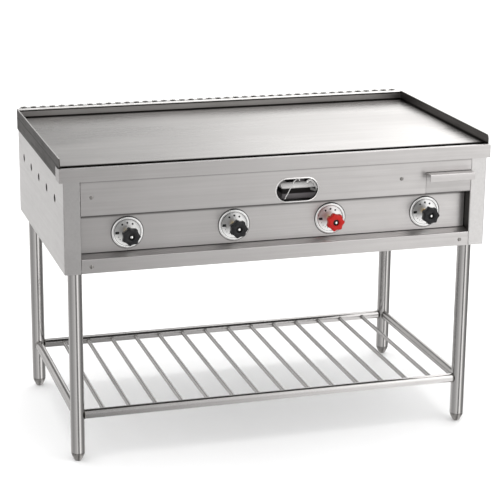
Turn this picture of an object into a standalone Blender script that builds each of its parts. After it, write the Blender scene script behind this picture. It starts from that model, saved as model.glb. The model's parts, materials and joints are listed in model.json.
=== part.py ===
"""Flat top gas griddle on a tube stand, as an assembly of sheet-metal, tube and gas parts.

Units are metres, +Z is up and the front faces -Y. The origin is on the floor, under the middle.
"""
import math

import bmesh
import bpy
from mathutils import Matrix, Vector

# Overall size and sheet stock
WIDTH = 1.200
DEPTH = 0.700
HEIGHT = 0.850
SHEET = 0.0015
GUARD_SHEET = 0.003
GAP = 0.0003
CLEAR = 0.002
OVERCUT = 0.010

# Levels above the floor
PLATE_TOP = 0.824
PLATE_THICK = 0.012
APRON_BOTTOM = 0.787
UPPER_PANEL_BOTTOM = 0.695
LEDGE_FRONT = 0.579
LEDGE_BACK = 0.585
BODY_BOTTOM = 0.540
LEG_BOTTOM = 0.025
SHELF_LEVEL = 0.131

# Planes, from the front (-Y) to the back (+Y)
FRONT = -DEPTH / 2
BACK = DEPTH / 2
BODY_FRONT = FRONT + SHEET + GAP
RECESS = 0.035
PANEL_FACE = BODY_FRONT + RECESS
SLOT_FRONT = FRONT + 0.010
SLOT_BACK = SLOT_FRONT + 0.022
PLATE_BACK = 0.312
COLLAR_BACK = 0.320

# Body
BODY_HALF = 0.590
POST_WIDTH = 0.045
POST_INNER = BODY_HALF - POST_WIDTH
SEAT_TOP = PLATE_TOP - PLATE_THICK - GAP
SEAT_BOTTOM = SEAT_TOP - GUARD_SHEET
BODY_TOP = SEAT_BOTTOM - GAP
GUARD_INSET = 0.0007
GUARD_OUTER = WIDTH / 2 - SHEET - GAP - GUARD_INSET
GUARD_INNER = GUARD_OUTER - GUARD_SHEET
SKIRT_BOTTOM = 0.790
TROUGH_BOTTOM = 0.776
TROUGH_BACK = -0.311
TROUGH_FALL = 0.012
TROUGH_WALL = 0.0012
APRON_HEM = 0.001
OUTLET_X = 0.480
OUTLET_RADIUS = 0.008
OUTLET_DEPTH = 0.014
FLANGE_INNER = 0.570
FLANGE_BACK = 0.288
APRON_RETURN = 0.050
GUARD_CORNER = 0.014
FLUE_HALF = 0.585
NOTCH_FRONT = 0.0001
NOTCH_UNDER = 0.001
REAR_FLANGE = 0.025
PAN_BACK = 0.345
PAN_RISE = 0.035
BOTTOM_RETURN = 0.016

# Lighting hole in the upper front panel: centre in X and Z, and size
HOLE_CENTRE = (0.042, 0.7305)
HOLE_LENGTH = 0.117
HOLE_HEIGHT = 0.062

# Burners, valves and knobs
TAP_X = (-0.415, -0.123, 0.149, 0.425)
KNOB_LEVEL = 0.636
BURNER_LEVEL = 0.690
BURNER_FRONT = -0.205
MANIFOLD_LEVEL = 0.600
MANIFOLD_Y = -0.280
MANIFOLD_HALF = 0.500
MANIFOLD_RADIUS = 0.0133
FEED_X = 0.480
FEED_RADIUS = 0.0105
INLET_HOLE_RADIUS = 0.017
UNION_RADIUS = 0.0155
UNION_START = 0.004
UNION_END = 0.018
SPINDLE_HOLE_RADIUS = 0.007
VALVE_RADIUS = 0.013
VALVE_BACK = -0.250
VALVE_FOOT_RADIUS = 0.008
JET_RADIUS = 0.009
JET_TIP_RADIUS = 0.004
BURNER_HALF = 0.110
BURNER_FRONT_RADIUS = 0.025
BURNER_ARM_RADIUS = 0.019
BURNER_ARM_INSET = 0.004
BURNER_BACK = 0.245
BRIDGE_Y = -0.020
BRIDGE_RADIUS = 0.017
MIXER_RADIUS = 0.015
MIXER_MOUTH = -0.229
MIXER_BEND_START = -0.130
MIXER_BEND_END = -0.095
BELL_LENGTH = 0.044
BELL_RADIUS = 0.022
BELL_NECK_RADIUS = 0.013
RAIL_FRONT = 0.200
RAIL_BACK = 0.230
RAIL_WALL = 0.003
DIAL_RADIUS = 0.0435
DIAL_HOLE_RADIUS = 0.008
DIAL_THICK = 0.0035
DIAL_RIM = 0.0025
DIAL_SLOPE = 0.0055
DIAL_EDGE = 0.001
KNOB_REACH = 0.055
KNOB_LOBES = 7
KNOB_RADIUS = 0.0225
LOBE_RISE = 0.0025
KNOB_THICK = 0.019
NECK_FRONT = -0.040
NECK_BACK = -0.024
NECK_RADIUS = 0.014
NECK_END_RADIUS = 0.009
SPINDLE_RADIUS = 0.005
SPINDLE_END = 0.001

# Grease drawer
DRAWER_LEFT = 0.413
DRAWER_RIGHT = POST_INNER - GAP
DRAWER_TOP = 0.758
DRAWER_BACK = -0.236
LIP_REACH = 0.0305
LIP_DROP = 0.019
INLET_END = LIP_REACH - BODY_FRONT
TRAY_WALL = 0.0012
DRAWER_LIFT = 0.0006
DRAWER_HEAD_GAP = 0.004
TRAY_DROP = 0.014
TRAY_FRONT_STEP = 0.0005
TRAY_SIDE_GAP = 0.003
SHELF_STOP = 0.004
OPENING_SIDE_GAP = 0.0005
OPENING_FLOOR_GAP = 0.0002

# Stand
LEG_X = 0.555
LEG_Y = 0.300
LEG_RADIUS = 0.01905
TUBE_WALL = 0.0015
FOOT_RADIUS = 0.0185
FOOT_SHOULDER = 0.018
FOOT_WAIST_RADIUS = 0.0135
FOOT_WAIST = 0.006
FOOT_PAD_RADIUS = 0.0095
STEM_RADIUS = 0.008
STEM_TOP = 0.080
RAIL_RADIUS = 0.0127
ROD_RADIUS = 0.006
ROD_COUNT = 14
ROD_PITCH = 0.0736

# Vents
SIDE_VENT_COUNT = 5
SIDE_VENT_PITCH = 0.120
SIDE_VENT_RADIUS = 0.0115
SIDE_VENT_LEVEL = 0.718
SIDE_VENT_MIDDLE = 0.014
FLUE_HOLE_COUNT = 42
FLUE_HOLE_PITCH = 0.028
FLUE_HOLE_RADIUS = 0.010

COLOURS = {
    "brushed": ((0.62, 0.60, 0.59), 0.38, 1.0),
    "dark_brushed": ((0.30, 0.29, 0.28), 0.35, 1.0),
    "griddle_steel": ((0.58, 0.56, 0.55), 0.30, 1.0),
    "chrome": ((0.80, 0.80, 0.80), 0.10, 1.0),
    "cast_iron": ((0.06, 0.06, 0.06), 0.70, 0.6),
    "brass": ((0.70, 0.52, 0.22), 0.30, 1.0),
    "black_plastic": ((0.015, 0.015, 0.016), 0.35, 0.0),
    "red_plastic": ((0.75, 0.02, 0.02), 0.35, 0.0),
}


def clear_scene():
    for obj in list(bpy.data.objects):
        bpy.data.objects.remove(obj, do_unlink=True)


def make_collection(name):
    collection = bpy.data.collections.new(name)
    bpy.context.scene.collection.children.link(collection)
    return collection


clear_scene()
PARTS = make_collection("flat_top_griddle")
CUTTERS = make_collection("cutters")


# ---------------------------------------------------------------- helpers

def finish(obj, name, colour, smooth=False):
    """Name a part, give it its own material and put it with the parts."""
    obj.name = name
    obj.data.name = name
    base, roughness, metallic = COLOURS[colour]
    material = bpy.data.materials.new(name + "_" + colour)
    material.use_nodes = True
    shader = material.node_tree.nodes["Principled BSDF"]
    shader.inputs["Base Color"].default_value = (*base, 1.0)
    shader.inputs["Roughness"].default_value = roughness
    shader.inputs["Metallic"].default_value = metallic
    material.diffuse_color = (*base, 1.0)
    obj.data.materials.clear()
    obj.data.materials.append(material)
    if smooth:
        obj.data.shade_smooth()
        obj.data.set_sharp_from_angle(angle=math.radians(35))
    move_to(obj, PARTS)
    return obj


def move_to(obj, collection):
    for old in list(obj.users_collection):
        old.objects.unlink(obj)
    collection.objects.link(obj)


def new_object(mesh, name="piece"):
    obj = bpy.data.objects.new(name, mesh)
    PARTS.objects.link(obj)
    return obj


def baked(obj):
    """Replace an object by the mesh that its modifiers or its curve give."""
    depsgraph = bpy.context.evaluated_depsgraph_get()
    depsgraph.update()
    mesh = bpy.data.meshes.new_from_object(obj.evaluated_get(depsgraph))
    mesh.transform(obj.matrix_world)
    if obj.matrix_world.is_negative:
        mesh.flip_normals()
    cleaner = bmesh.new()
    cleaner.from_mesh(mesh)
    bmesh.ops.remove_doubles(cleaner, verts=cleaner.verts, dist=0.000001)
    cleaner.to_mesh(mesh)
    cleaner.free()
    bpy.data.objects.remove(obj, do_unlink=True)
    return new_object(mesh)


def box(low, high):
    """A box between two corners."""
    mesh = bpy.data.meshes.new("box")
    shape = bmesh.new()
    bmesh.ops.create_cube(shape, size=1.0)
    size = [b - a for a, b in zip(low, high)]
    middle = [(a + b) / 2 for a, b in zip(low, high)]
    bmesh.ops.scale(shape, vec=size, verts=shape.verts)
    bmesh.ops.translate(shape, vec=middle, verts=shape.verts)
    shape.to_mesh(mesh)
    shape.free()
    return new_object(mesh)


def cylinder(start, end, radius, sides, end_radius=None):
    """A round bar, or a cone with its own end radius, between two points."""
    start = Vector(start)
    end = Vector(end)
    along = end - start
    mesh = bpy.data.meshes.new("cylinder")
    shape = bmesh.new()
    bmesh.ops.create_cone(shape, cap_ends=True, segments=sides, radius1=radius,
                          radius2=radius if end_radius is None else end_radius,
                          depth=along.length)
    turn = along.to_track_quat("Z", "Y").to_matrix().to_4x4()
    place = Matrix.Translation((start + end) / 2) @ turn
    bmesh.ops.transform(shape, matrix=place, verts=shape.verts)
    shape.to_mesh(mesh)
    shape.free()
    return new_object(mesh)


def turned(profile, steps, closed=False):
    """Turn a profile of (radius, height) points, listed down its outer side, about Z."""
    mesh = bpy.data.meshes.new("turned")
    shape = bmesh.new()
    points = [shape.verts.new((radius, 0, height)) for radius, height in profile]
    for first, second in zip(points, points[1:]):
        shape.edges.new((first, second))
    if closed:
        shape.edges.new((points[-1], points[0]))
    shape.to_mesh(mesh)
    shape.free()
    obj = new_object(mesh)
    screw = obj.modifiers.new("turn", "SCREW")
    screw.angle = 2 * math.pi
    screw.steps = steps
    screw.render_steps = steps
    screw.use_merge_vertices = True
    screw.merge_threshold = 0.00001
    return obj


def tube(start, end, radius, sides, wall=TUBE_WALL):
    """A hollow tube, open at both ends, between two points."""
    start = Vector(start)
    end = Vector(end)
    length = (end - start).length
    inner = radius - wall
    obj = turned([(radius, length), (radius, 0), (inner, 0), (inner, length)], sides, closed=True)
    obj.rotation_euler = (end - start).to_track_quat("Z", "Y").to_euler()
    obj.location = start
    return obj


def pipe(points, radius, resolution):
    """A round pipe with capped ends through a list of points."""
    curve = bpy.data.curves.new("pipe", "CURVE")
    curve.dimensions = "3D"
    curve.bevel_depth = radius
    curve.bevel_resolution = resolution
    curve.use_fill_caps = True
    spline = curve.splines.new("POLY")
    spline.points.add(len(points) - 1)
    for point, place in zip(spline.points, points):
        point.co = (*place, 1.0)
    obj = bpy.data.objects.new("pipe", curve)
    PARTS.objects.link(obj)
    return baked(obj)


def outline_plate(outline, thickness, place):
    """A flat plate from its outline in X and Y, centred on Z = 0, then put in place."""
    curve = bpy.data.curves.new("outline", "CURVE")
    curve.dimensions = "2D"
    curve.fill_mode = "BOTH"
    curve.extrude = thickness / 2
    spline = curve.splines.new("POLY")
    spline.points.add(len(outline) - 1)
    for point, (x, y) in zip(spline.points, outline):
        point.co = (x, y, 0, 1)
    spline.use_cyclic_u = True
    obj = bpy.data.objects.new("outline", curve)
    PARTS.objects.link(obj)
    obj.matrix_world = place
    return baked(obj)


def folded_sheet(points, along, start, end, thickness):
    """A sheet folded along straight lines.

    The points are the middle of the sheet in the plane across `along`: (y, z) for a fold line
    along X, (x, y) for one along Z.
    """
    mesh = bpy.data.meshes.new("sheet")
    shape = bmesh.new()
    if along == "X":
        first_row = [shape.verts.new((start, a, b)) for a, b in points]
        travel = (end - start, 0, 0)
    else:
        first_row = [shape.verts.new((a, b, start)) for a, b in points]
        travel = (0, 0, end - start)
    edges = [shape.edges.new(pair) for pair in zip(first_row, first_row[1:])]
    grown = bmesh.ops.extrude_edge_only(shape, edges=edges)
    moved = [item for item in grown["geom"] if isinstance(item, bmesh.types.BMVert)]
    bmesh.ops.translate(shape, vec=travel, verts=moved)
    bmesh.ops.recalc_face_normals(shape, faces=shape.faces)
    shape.to_mesh(mesh)
    shape.free()
    obj = new_object(mesh)
    thicken(obj, thickness)
    return baked(obj)


def thicken(obj, thickness, offset=0.0):
    solidify = obj.modifiers.new("sheet thickness", "SOLIDIFY")
    solidify.thickness = thickness
    solidify.offset = offset
    solidify.use_even_offset = True


def open_box(low, high, wall, open_side="top"):
    """A thin-walled box with its outer faces between two corners and one side open."""
    direction = Vector((0, 0, 1 if open_side == "top" else -1))
    mesh = bpy.data.meshes.new("open box")
    shape = bmesh.new()
    bmesh.ops.create_cube(shape, size=1.0)
    lid = [face for face in shape.faces if face.normal.dot(direction) > 0.9]
    bmesh.ops.delete(shape, geom=lid, context="FACES_ONLY")
    size = [b - a for a, b in zip(low, high)]
    middle = [(a + b) / 2 for a, b in zip(low, high)]
    bmesh.ops.scale(shape, vec=size, verts=shape.verts)
    bmesh.ops.translate(shape, vec=middle, verts=shape.verts)
    shape.to_mesh(mesh)
    shape.free()
    obj = new_object(mesh)
    thicken(obj, wall, offset=-1.0)
    return baked(obj)


def united(base, *others):
    """Weld solids that overlap into one."""
    for other in others:
        weld = base.modifiers.new("weld", "BOOLEAN")
        weld.operation = "UNION"
        weld.solver = "EXACT"
        weld.object = other
    result = baked(base)
    for other in others:
        bpy.data.objects.remove(other, do_unlink=True)
    return result


def cut(base, *cutters):
    """Cut holes; the cutters stay in their own collection, hidden."""
    for cutter in cutters:
        hole = base.modifiers.new("cut", "BOOLEAN")
        hole.operation = "DIFFERENCE"
        hole.solver = "EXACT"
        hole.object = cutter
        cutter.name = "cutter"
        cutter.hide_render = True
        cutter.display_type = "WIRE"
        move_to(cutter, CUTTERS)
    return base


def arc(centre, radius, start, end, steps):
    """Points on a circle in the plane, with angles in degrees."""
    angles = [math.radians(start + (end - start) * step / steps) for step in range(steps + 1)]
    return [(centre[0] + radius * math.cos(a), centre[1] + radius * math.sin(a)) for a in angles]


def centred(count, pitch):
    """Evenly spaced positions about zero."""
    return [(index - (count - 1) / 2) * pitch for index in range(count)]


# ---------------------------------------------------------------- cooking top

def make_griddle_plate():
    half = GUARD_INNER - GAP
    plate = box((-half, SLOT_BACK, PLATE_TOP - PLATE_THICK), (half, PLATE_BACK, PLATE_TOP))
    return finish(plate, "griddle_plate", "griddle_steel")


def make_side_guard(name, side):
    """An upright guard with a rounded front end and a flange that the plate rests on."""
    start = SLOT_FRONT + GAP
    outline = [(start, SKIRT_BOTTOM), (COLLAR_BACK, SKIRT_BOTTOM), (COLLAR_BACK, HEIGHT)]
    outline += arc((start + GUARD_CORNER, HEIGHT - GUARD_CORNER), GUARD_CORNER, 90, 180, 4)
    middle = side * (GUARD_OUTER + GUARD_INNER) / 2
    upright = Matrix(((0, 0, 1, middle), (1, 0, 0, 0), (0, 1, 0, 0), (0, 0, 0, 1)))
    guard = outline_plate(outline, GUARD_SHEET, upright)
    reach = sorted((side * FLANGE_INNER, side * (GUARD_INNER + GUARD_SHEET / 2)))
    flange = box((reach[0], SLOT_BACK, SEAT_BOTTOM), (reach[1], FLANGE_BACK, SEAT_TOP))
    return finish(united(guard, flange), name, "dark_brushed")


def make_back_guard():
    half = GUARD_INNER - GAP
    wall = PLATE_BACK + GAP + GUARD_SHEET / 2
    profile = [(FLANGE_BACK + CLEAR, SEAT_TOP - GUARD_SHEET / 2), (wall, SEAT_TOP - GUARD_SHEET / 2),
               (wall, HEIGHT - GUARD_SHEET / 2), (COLLAR_BACK, HEIGHT - GUARD_SHEET / 2)]
    guard = folded_sheet(profile, "X", -half, half, GUARD_SHEET)
    return finish(guard, "guard_back", "dark_brushed")


def make_flue_vent():
    """The perforated cap of the flue, behind the back guard."""
    top = HEIGHT - GUARD_SHEET
    vent = open_box((-FLUE_HALF, COLLAR_BACK + GAP, SEAT_BOTTOM), (FLUE_HALF, BACK, top), SHEET, "bottom")
    middle = (COLLAR_BACK + GAP + BACK) / 2
    holes = [cylinder((x, middle, top - OVERCUT), (x, middle, top + OVERCUT), FLUE_HOLE_RADIUS, 10)
             for x in centred(FLUE_HOLE_COUNT, FLUE_HOLE_PITCH)]
    return finish(cut(vent, *holes), "flue_vent", "brushed")


def make_front_apron():
    """The trim in front of the grease slot, with a short return round each corner."""
    face = FRONT + SHEET / 2
    lip = SLOT_FRONT - SHEET / 2
    profile = [(face, APRON_BOTTOM), (face, PLATE_TOP - SHEET / 2), (lip, PLATE_TOP - SHEET / 2),
               (lip, SEAT_BOTTOM + APRON_HEM)]
    half = WIDTH / 2 - SHEET / 2
    apron = folded_sheet(profile, "X", -half, half, SHEET)
    returns = []
    for side in (-1, 1):
        reach = sorted((side * (WIDTH / 2 - SHEET), side * WIDTH / 2))
        returns.append(box((reach[0], FRONT, APRON_BOTTOM), (reach[1], FRONT + APRON_RETURN, PLATE_TOP)))
    return finish(united(apron, *returns), "front_apron", "brushed")


def make_grease_trough():
    """A gutter under the slot; its floor falls towards the drawer and has an outlet over it."""
    half = BODY_HALF - SHEET - CLEAR
    low = (-half, BODY_FRONT + SHEET + GAP, TROUGH_BOTTOM)
    high = (half, TROUGH_BACK, SEAT_BOTTOM - GAP)
    trough = open_box(low, high, TROUGH_WALL)
    floor = TROUGH_BOTTOM + 2 * TROUGH_WALL
    for vertex in trough.data.vertices:
        if vertex.co.z < floor and vertex.co.x < 0:
            vertex.co.z += TROUGH_FALL
    middle = (low[1] + high[1]) / 2
    outlet = cylinder((OUTLET_X, middle, TROUGH_BOTTOM - OVERCUT),
                      (OUTLET_X, middle, TROUGH_BOTTOM + OUTLET_DEPTH), OUTLET_RADIUS, 12)
    return finish(cut(trough, outlet), "grease_trough", "brushed")


# ---------------------------------------------------------------- body

def make_side_panel(name, side):
    """Side sheet folded round the front corner and back into the recess, with a rear flange."""
    half = SHEET / 2
    profile = [(side * (POST_INNER + half), PANEL_FACE + GAP + SHEET),
               (side * (POST_INNER + half), BODY_FRONT + half),
               (side * (BODY_HALF - half), BODY_FRONT + half),
               (side * (BODY_HALF - half), BACK - half),
               (side * (BODY_HALF - REAR_FLANGE), BACK - half)]
    panel = folded_sheet(profile, "Z", BODY_BOTTOM, BODY_TOP, SHEET)
    reach = (side * (BODY_HALF - OVERCUT), side * (BODY_HALF + OVERCUT))
    rows = [SIDE_VENT_MIDDLE + y for y in centred(SIDE_VENT_COUNT, SIDE_VENT_PITCH)]
    vents = [cylinder((reach[0], y, SIDE_VENT_LEVEL), (reach[1], y, SIDE_VENT_LEVEL),
                      SIDE_VENT_RADIUS, 16) for y in rows]
    low_x, high_x = sorted((side * (POST_INNER - OVERCUT), side * (BODY_HALF - SHEET - APRON_HEM)))
    notch = box((low_x, BODY_FRONT + SHEET + NOTCH_FRONT, TROUGH_BOTTOM - NOTCH_UNDER),
                (high_x, PANEL_FACE + OVERCUT, BODY_TOP + OVERCUT))
    return finish(cut(panel, notch, *vents), name, "brushed")


def make_back_panel():
    half = BODY_HALF - SHEET - GAP
    face = BACK - SHEET - GAP
    panel = box((-half, face - SHEET, BODY_BOTTOM), (half, face, BODY_TOP))
    inlet_hole = cylinder((FEED_X, face - OVERCUT, MANIFOLD_LEVEL),
                          (FEED_X, face + OVERCUT, MANIFOLD_LEVEL), INLET_HOLE_RADIUS, 16)
    return finish(cut(panel, inlet_hole), "back_panel", "brushed")


def obround(centre, length, height, steps):
    """A slot outline with round ends."""
    radius = height / 2
    reach = length / 2 - radius
    right = arc((centre[0] + reach, centre[1]), radius, -90, 90, steps)
    left = arc((centre[0] - reach, centre[1]), radius, 90, 270, steps)
    return right + left


def make_upper_front_panel():
    """Upper front sheet with the lighting hole, the drawer opening and the drawer's shelf."""
    half = POST_INNER - GAP
    face = BODY_FRONT + SHEET / 2
    floor = UPPER_PANEL_BOTTOM + SHEET / 2
    profile = [(face, BODY_TOP), (face, floor), (PANEL_FACE + SHEET, floor)]
    panel = folded_sheet(profile, "X", -half, half, SHEET)
    shelf = box((DRAWER_LEFT, PANEL_FACE, UPPER_PANEL_BOTTOM),
                (half - NOTCH_UNDER, DRAWER_BACK - SHELF_STOP, UPPER_PANEL_BOTTOM + SHEET))
    panel = united(panel, shelf)
    facing = Matrix(((1, 0, 0, 0), (0, 0, 1, face), (0, 1, 0, 0), (0, 0, 0, 1)))
    hole = outline_plate(obround(HOLE_CENTRE, HOLE_LENGTH, HOLE_HEIGHT, 8), OVERCUT, facing)
    opening = box((DRAWER_LEFT - OPENING_SIDE_GAP, BODY_FRONT - OVERCUT / 2,
                   UPPER_PANEL_BOTTOM + SHEET + OPENING_FLOOR_GAP),
                  (half + OVERCUT, BODY_FRONT + OVERCUT / 2, DRAWER_TOP))
    return finish(cut(panel, hole, opening), "upper_front_panel", "brushed")


def make_control_panel():
    half = POST_INNER - SHEET
    panel = box((-half, PANEL_FACE, LEDGE_BACK + SHEET),
                (half, PANEL_FACE + SHEET, UPPER_PANEL_BOTTOM - GAP))
    holes = [cylinder((x, PANEL_FACE - OVERCUT, KNOB_LEVEL), (x, PANEL_FACE + OVERCUT, KNOB_LEVEL),
                      SPINDLE_HOLE_RADIUS, 12) for x in TAP_X]
    return finish(cut(panel, *holes), "control_panel", "brushed")


def make_bottom_rail():
    """Bottom front strip with the sloping ledge under the controls."""
    half = POST_INNER - GAP
    face = BODY_FRONT + SHEET / 2
    profile = [(BODY_FRONT + BOTTOM_RETURN, BODY_BOTTOM + SHEET / 2), (face, BODY_BOTTOM + SHEET / 2),
               (face, LEDGE_FRONT - SHEET / 2), (PANEL_FACE + SHEET, LEDGE_BACK - SHEET / 2)]
    return finish(folded_sheet(profile, "X", -half, half, SHEET), "bottom_rail", "brushed")


def make_base_pan():
    """Heat shield under the burners, flanged up inside both sides, with the legs below it."""
    half = BODY_HALF - SHEET - GAP
    front = PANEL_FACE + 2 * CLEAR
    web = box((-half, front, BODY_BOTTOM), (half, PAN_BACK, BODY_BOTTOM + SHEET))
    flanges = []
    for x in (-half, half - SHEET):
        flanges.append(box((x, front, BODY_BOTTOM + SHEET / 2),
                           (x + SHEET, PAN_BACK, BODY_BOTTOM + PAN_RISE)))
    return finish(united(web, *flanges), "base_pan", "dark_brushed")


def make_burner_rail():
    """Angle bar that the burner arms rest on."""
    half = BODY_HALF - SHEET - GAP
    top = BURNER_LEVEL - BURNER_ARM_RADIUS - GAP
    middle = top - RAIL_WALL / 2
    profile = [(RAIL_FRONT, middle), (RAIL_BACK, middle), (RAIL_BACK, top - (RAIL_BACK - RAIL_FRONT))]
    return finish(folded_sheet(profile, "X", -half, half, RAIL_WALL), "burner_rail", "dark_brushed")


# ---------------------------------------------------------------- gas parts

def make_burner(name, x):
    """Ladder burner: a front cross tube, two arms, a middle cross tube and a mixing tube."""
    half = BURNER_HALF
    arm_x = half - BURNER_ARM_RADIUS - BURNER_ARM_INSET
    front = cylinder((x - half, BURNER_FRONT, BURNER_LEVEL), (x + half, BURNER_FRONT, BURNER_LEVEL),
                     BURNER_FRONT_RADIUS, 16)
    arms = [cylinder((x + side * arm_x, BURNER_FRONT, BURNER_LEVEL),
                     (x + side * arm_x, BURNER_BACK, BURNER_LEVEL), BURNER_ARM_RADIUS, 12)
            for side in (-1, 1)]
    bridge = cylinder((x - arm_x, BRIDGE_Y, BURNER_LEVEL), (x + arm_x, BRIDGE_Y, BURNER_LEVEL),
                      BRIDGE_RADIUS, 10)
    rise = (BURNER_LEVEL - KNOB_LEVEL) / 4
    mixing = pipe([(x, MIXER_MOUTH + CLEAR, KNOB_LEVEL), (x, MIXER_BEND_START, KNOB_LEVEL),
                   (x, MIXER_BEND_END, KNOB_LEVEL + rise), (x, BRIDGE_Y, BURNER_LEVEL)],
                  MIXER_RADIUS, 4)
    bell = cylinder((x, MIXER_MOUTH, KNOB_LEVEL), (x, MIXER_MOUTH + BELL_LENGTH, KNOB_LEVEL),
                    BELL_RADIUS, 12, BELL_NECK_RADIUS)
    burner = united(front, *arms, bridge, mixing, bell)
    return finish(burner, name, "cast_iron", smooth=True)


def make_gas_manifold():
    """Supply pipe behind the controls, with its inlet out through the back."""
    run = pipe([(-MANIFOLD_HALF, MANIFOLD_Y, MANIFOLD_LEVEL), (MANIFOLD_HALF, MANIFOLD_Y, MANIFOLD_LEVEL)],
               MANIFOLD_RADIUS, 4)
    feed = cylinder((FEED_X, MANIFOLD_Y, MANIFOLD_LEVEL), (FEED_X, INLET_END, MANIFOLD_LEVEL),
                    FEED_RADIUS, 12)
    union_nut = cylinder((FEED_X, BACK + UNION_START, MANIFOLD_LEVEL),
                         (FEED_X, BACK + UNION_END, MANIFOLD_LEVEL), UNION_RADIUS, 6)
    return finish(united(run, feed, union_nut), "gas_manifold", "cast_iron", smooth=True)


def make_gas_valve(name, x):
    """Brass tap: body behind the panel, foot on the manifold and jet facing the mixing tube."""
    front = PANEL_FACE + SHEET + GAP
    body = cylinder((x, front, KNOB_LEVEL), (x, VALVE_BACK, KNOB_LEVEL), VALVE_RADIUS, 12)
    foot = cylinder((x, MANIFOLD_Y, MANIFOLD_LEVEL + MANIFOLD_RADIUS + GAP), (x, MANIFOLD_Y, KNOB_LEVEL),
                    VALVE_FOOT_RADIUS, 10)
    jet = cylinder((x, VALVE_BACK - CLEAR, KNOB_LEVEL), (x, MIXER_MOUTH - CLEAR, KNOB_LEVEL),
                   JET_RADIUS, 10, JET_TIP_RADIUS)
    return finish(united(body, foot, jet), name, "brass", smooth=True)


def make_dial_plate(name, x):
    """Round dial plate with a sloping rim and a hole for the spindle."""
    profile = [(DIAL_RADIUS - DIAL_SLOPE, DIAL_THICK), (DIAL_RADIUS - DIAL_EDGE, DIAL_RIM),
               (DIAL_RADIUS, 0), (DIAL_HOLE_RADIUS, 0), (DIAL_HOLE_RADIUS, DIAL_THICK)]
    dial = turned(profile, 28, closed=True)
    dial.rotation_euler = (math.radians(90), 0, 0)
    dial.location = (x, PANEL_FACE - GAP, KNOB_LEVEL)
    return finish(baked(dial), name, "chrome", smooth=True)


def make_knob(name, x, colour):
    """Star handwheel on its spindle, with its origin on the spindle's axis."""
    points = []
    count = KNOB_LOBES * 6
    for index in range(count):
        angle = 2 * math.pi * index / count
        radius = KNOB_RADIUS + LOBE_RISE * math.cos(KNOB_LOBES * angle)
        points.append((radius * math.cos(angle), radius * math.sin(angle)))
    facing = Matrix(((1, 0, 0, 0), (0, 0, 1, -KNOB_REACH + KNOB_THICK / 2), (0, 1, 0, 0), (0, 0, 0, 1)))
    star = outline_plate(points, KNOB_THICK, facing)
    neck = cylinder((0, NECK_FRONT, 0), (0, NECK_BACK, 0), NECK_RADIUS, 14, NECK_END_RADIUS)
    spindle = cylinder((0, NECK_BACK - CLEAR, 0), (0, SPINDLE_END, 0), SPINDLE_RADIUS, 10)
    knob = united(star, neck, spindle)
    knob.location = (x, PANEL_FACE, KNOB_LEVEL)
    return finish(knob, name, colour, smooth=True)


def make_grease_drawer():
    """Drawer tray with a front that folds out and down into a pull lip."""
    half = SHEET / 2
    front = BODY_FRONT + half
    floor = UPPER_PANEL_BOTTOM + SHEET + DRAWER_LIFT
    lip_top = DRAWER_TOP - DRAWER_HEAD_GAP
    profile = [(front, floor), (front, lip_top), (BODY_FRONT - LIP_REACH + half, lip_top),
               (BODY_FRONT - LIP_REACH + half, lip_top - LIP_DROP)]
    face = folded_sheet(profile, "X", DRAWER_LEFT + GAP, DRAWER_RIGHT - GAP, SHEET)
    tray = open_box((DRAWER_LEFT + CLEAR, BODY_FRONT + TRAY_FRONT_STEP, floor),
                    (DRAWER_RIGHT - TRAY_SIDE_GAP, DRAWER_BACK, DRAWER_TOP - TRAY_DROP), TRAY_WALL)
    return finish(united(face, tray), "grease_drawer", "brushed")


# ---------------------------------------------------------------- stand

def make_leg(name, x, y):
    leg = tube((x, y, LEG_BOTTOM), (x, y, BODY_BOTTOM - GAP), LEG_RADIUS, 20)
    return finish(baked(leg), name, "brushed", smooth=True)


def make_foot(name, x, y):
    """Bullet foot on a threaded stem that runs up inside the leg."""
    top = LEG_BOTTOM - GAP
    profile = [(0, STEM_TOP), (STEM_RADIUS, STEM_TOP), (STEM_RADIUS, top), (FOOT_RADIUS, top),
               (FOOT_RADIUS, FOOT_SHOULDER), (FOOT_WAIST_RADIUS, FOOT_WAIST), (FOOT_PAD_RADIUS, 0), (0, 0)]
    foot = turned(profile, 16)
    foot.location = (x, y, 0)
    return finish(foot, name, "dark_brushed", smooth=True)


def make_shelf():
    """Four tube rails between the legs and the rods between front and back rails."""
    across = LEG_X - LEG_RADIUS - GAP
    along = LEG_Y - LEG_RADIUS - GAP
    for name, y in (("shelf_rail_front", -LEG_Y), ("shelf_rail_back", LEG_Y)):
        rail = tube((-across, y, SHELF_LEVEL), (across, y, SHELF_LEVEL), RAIL_RADIUS, 16)
        finish(baked(rail), name, "brushed", smooth=True)
    for name, x in (("shelf_rail_left", -LEG_X), ("shelf_rail_right", LEG_X)):
        rail = tube((x, -along, SHELF_LEVEL), (x, along, SHELF_LEVEL), RAIL_RADIUS, 16)
        finish(baked(rail), name, "brushed", smooth=True)
    reach = LEG_Y - RAIL_RADIUS - GAP
    for index, x in enumerate(centred(ROD_COUNT, ROD_PITCH)):
        rod = cylinder((x, -reach, SHELF_LEVEL), (x, reach, SHELF_LEVEL), ROD_RADIUS, 10)
        finish(rod, "shelf_rod_%02d" % (index + 1), "brushed", smooth=True)


# ---------------------------------------------------------------- assembly

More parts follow.
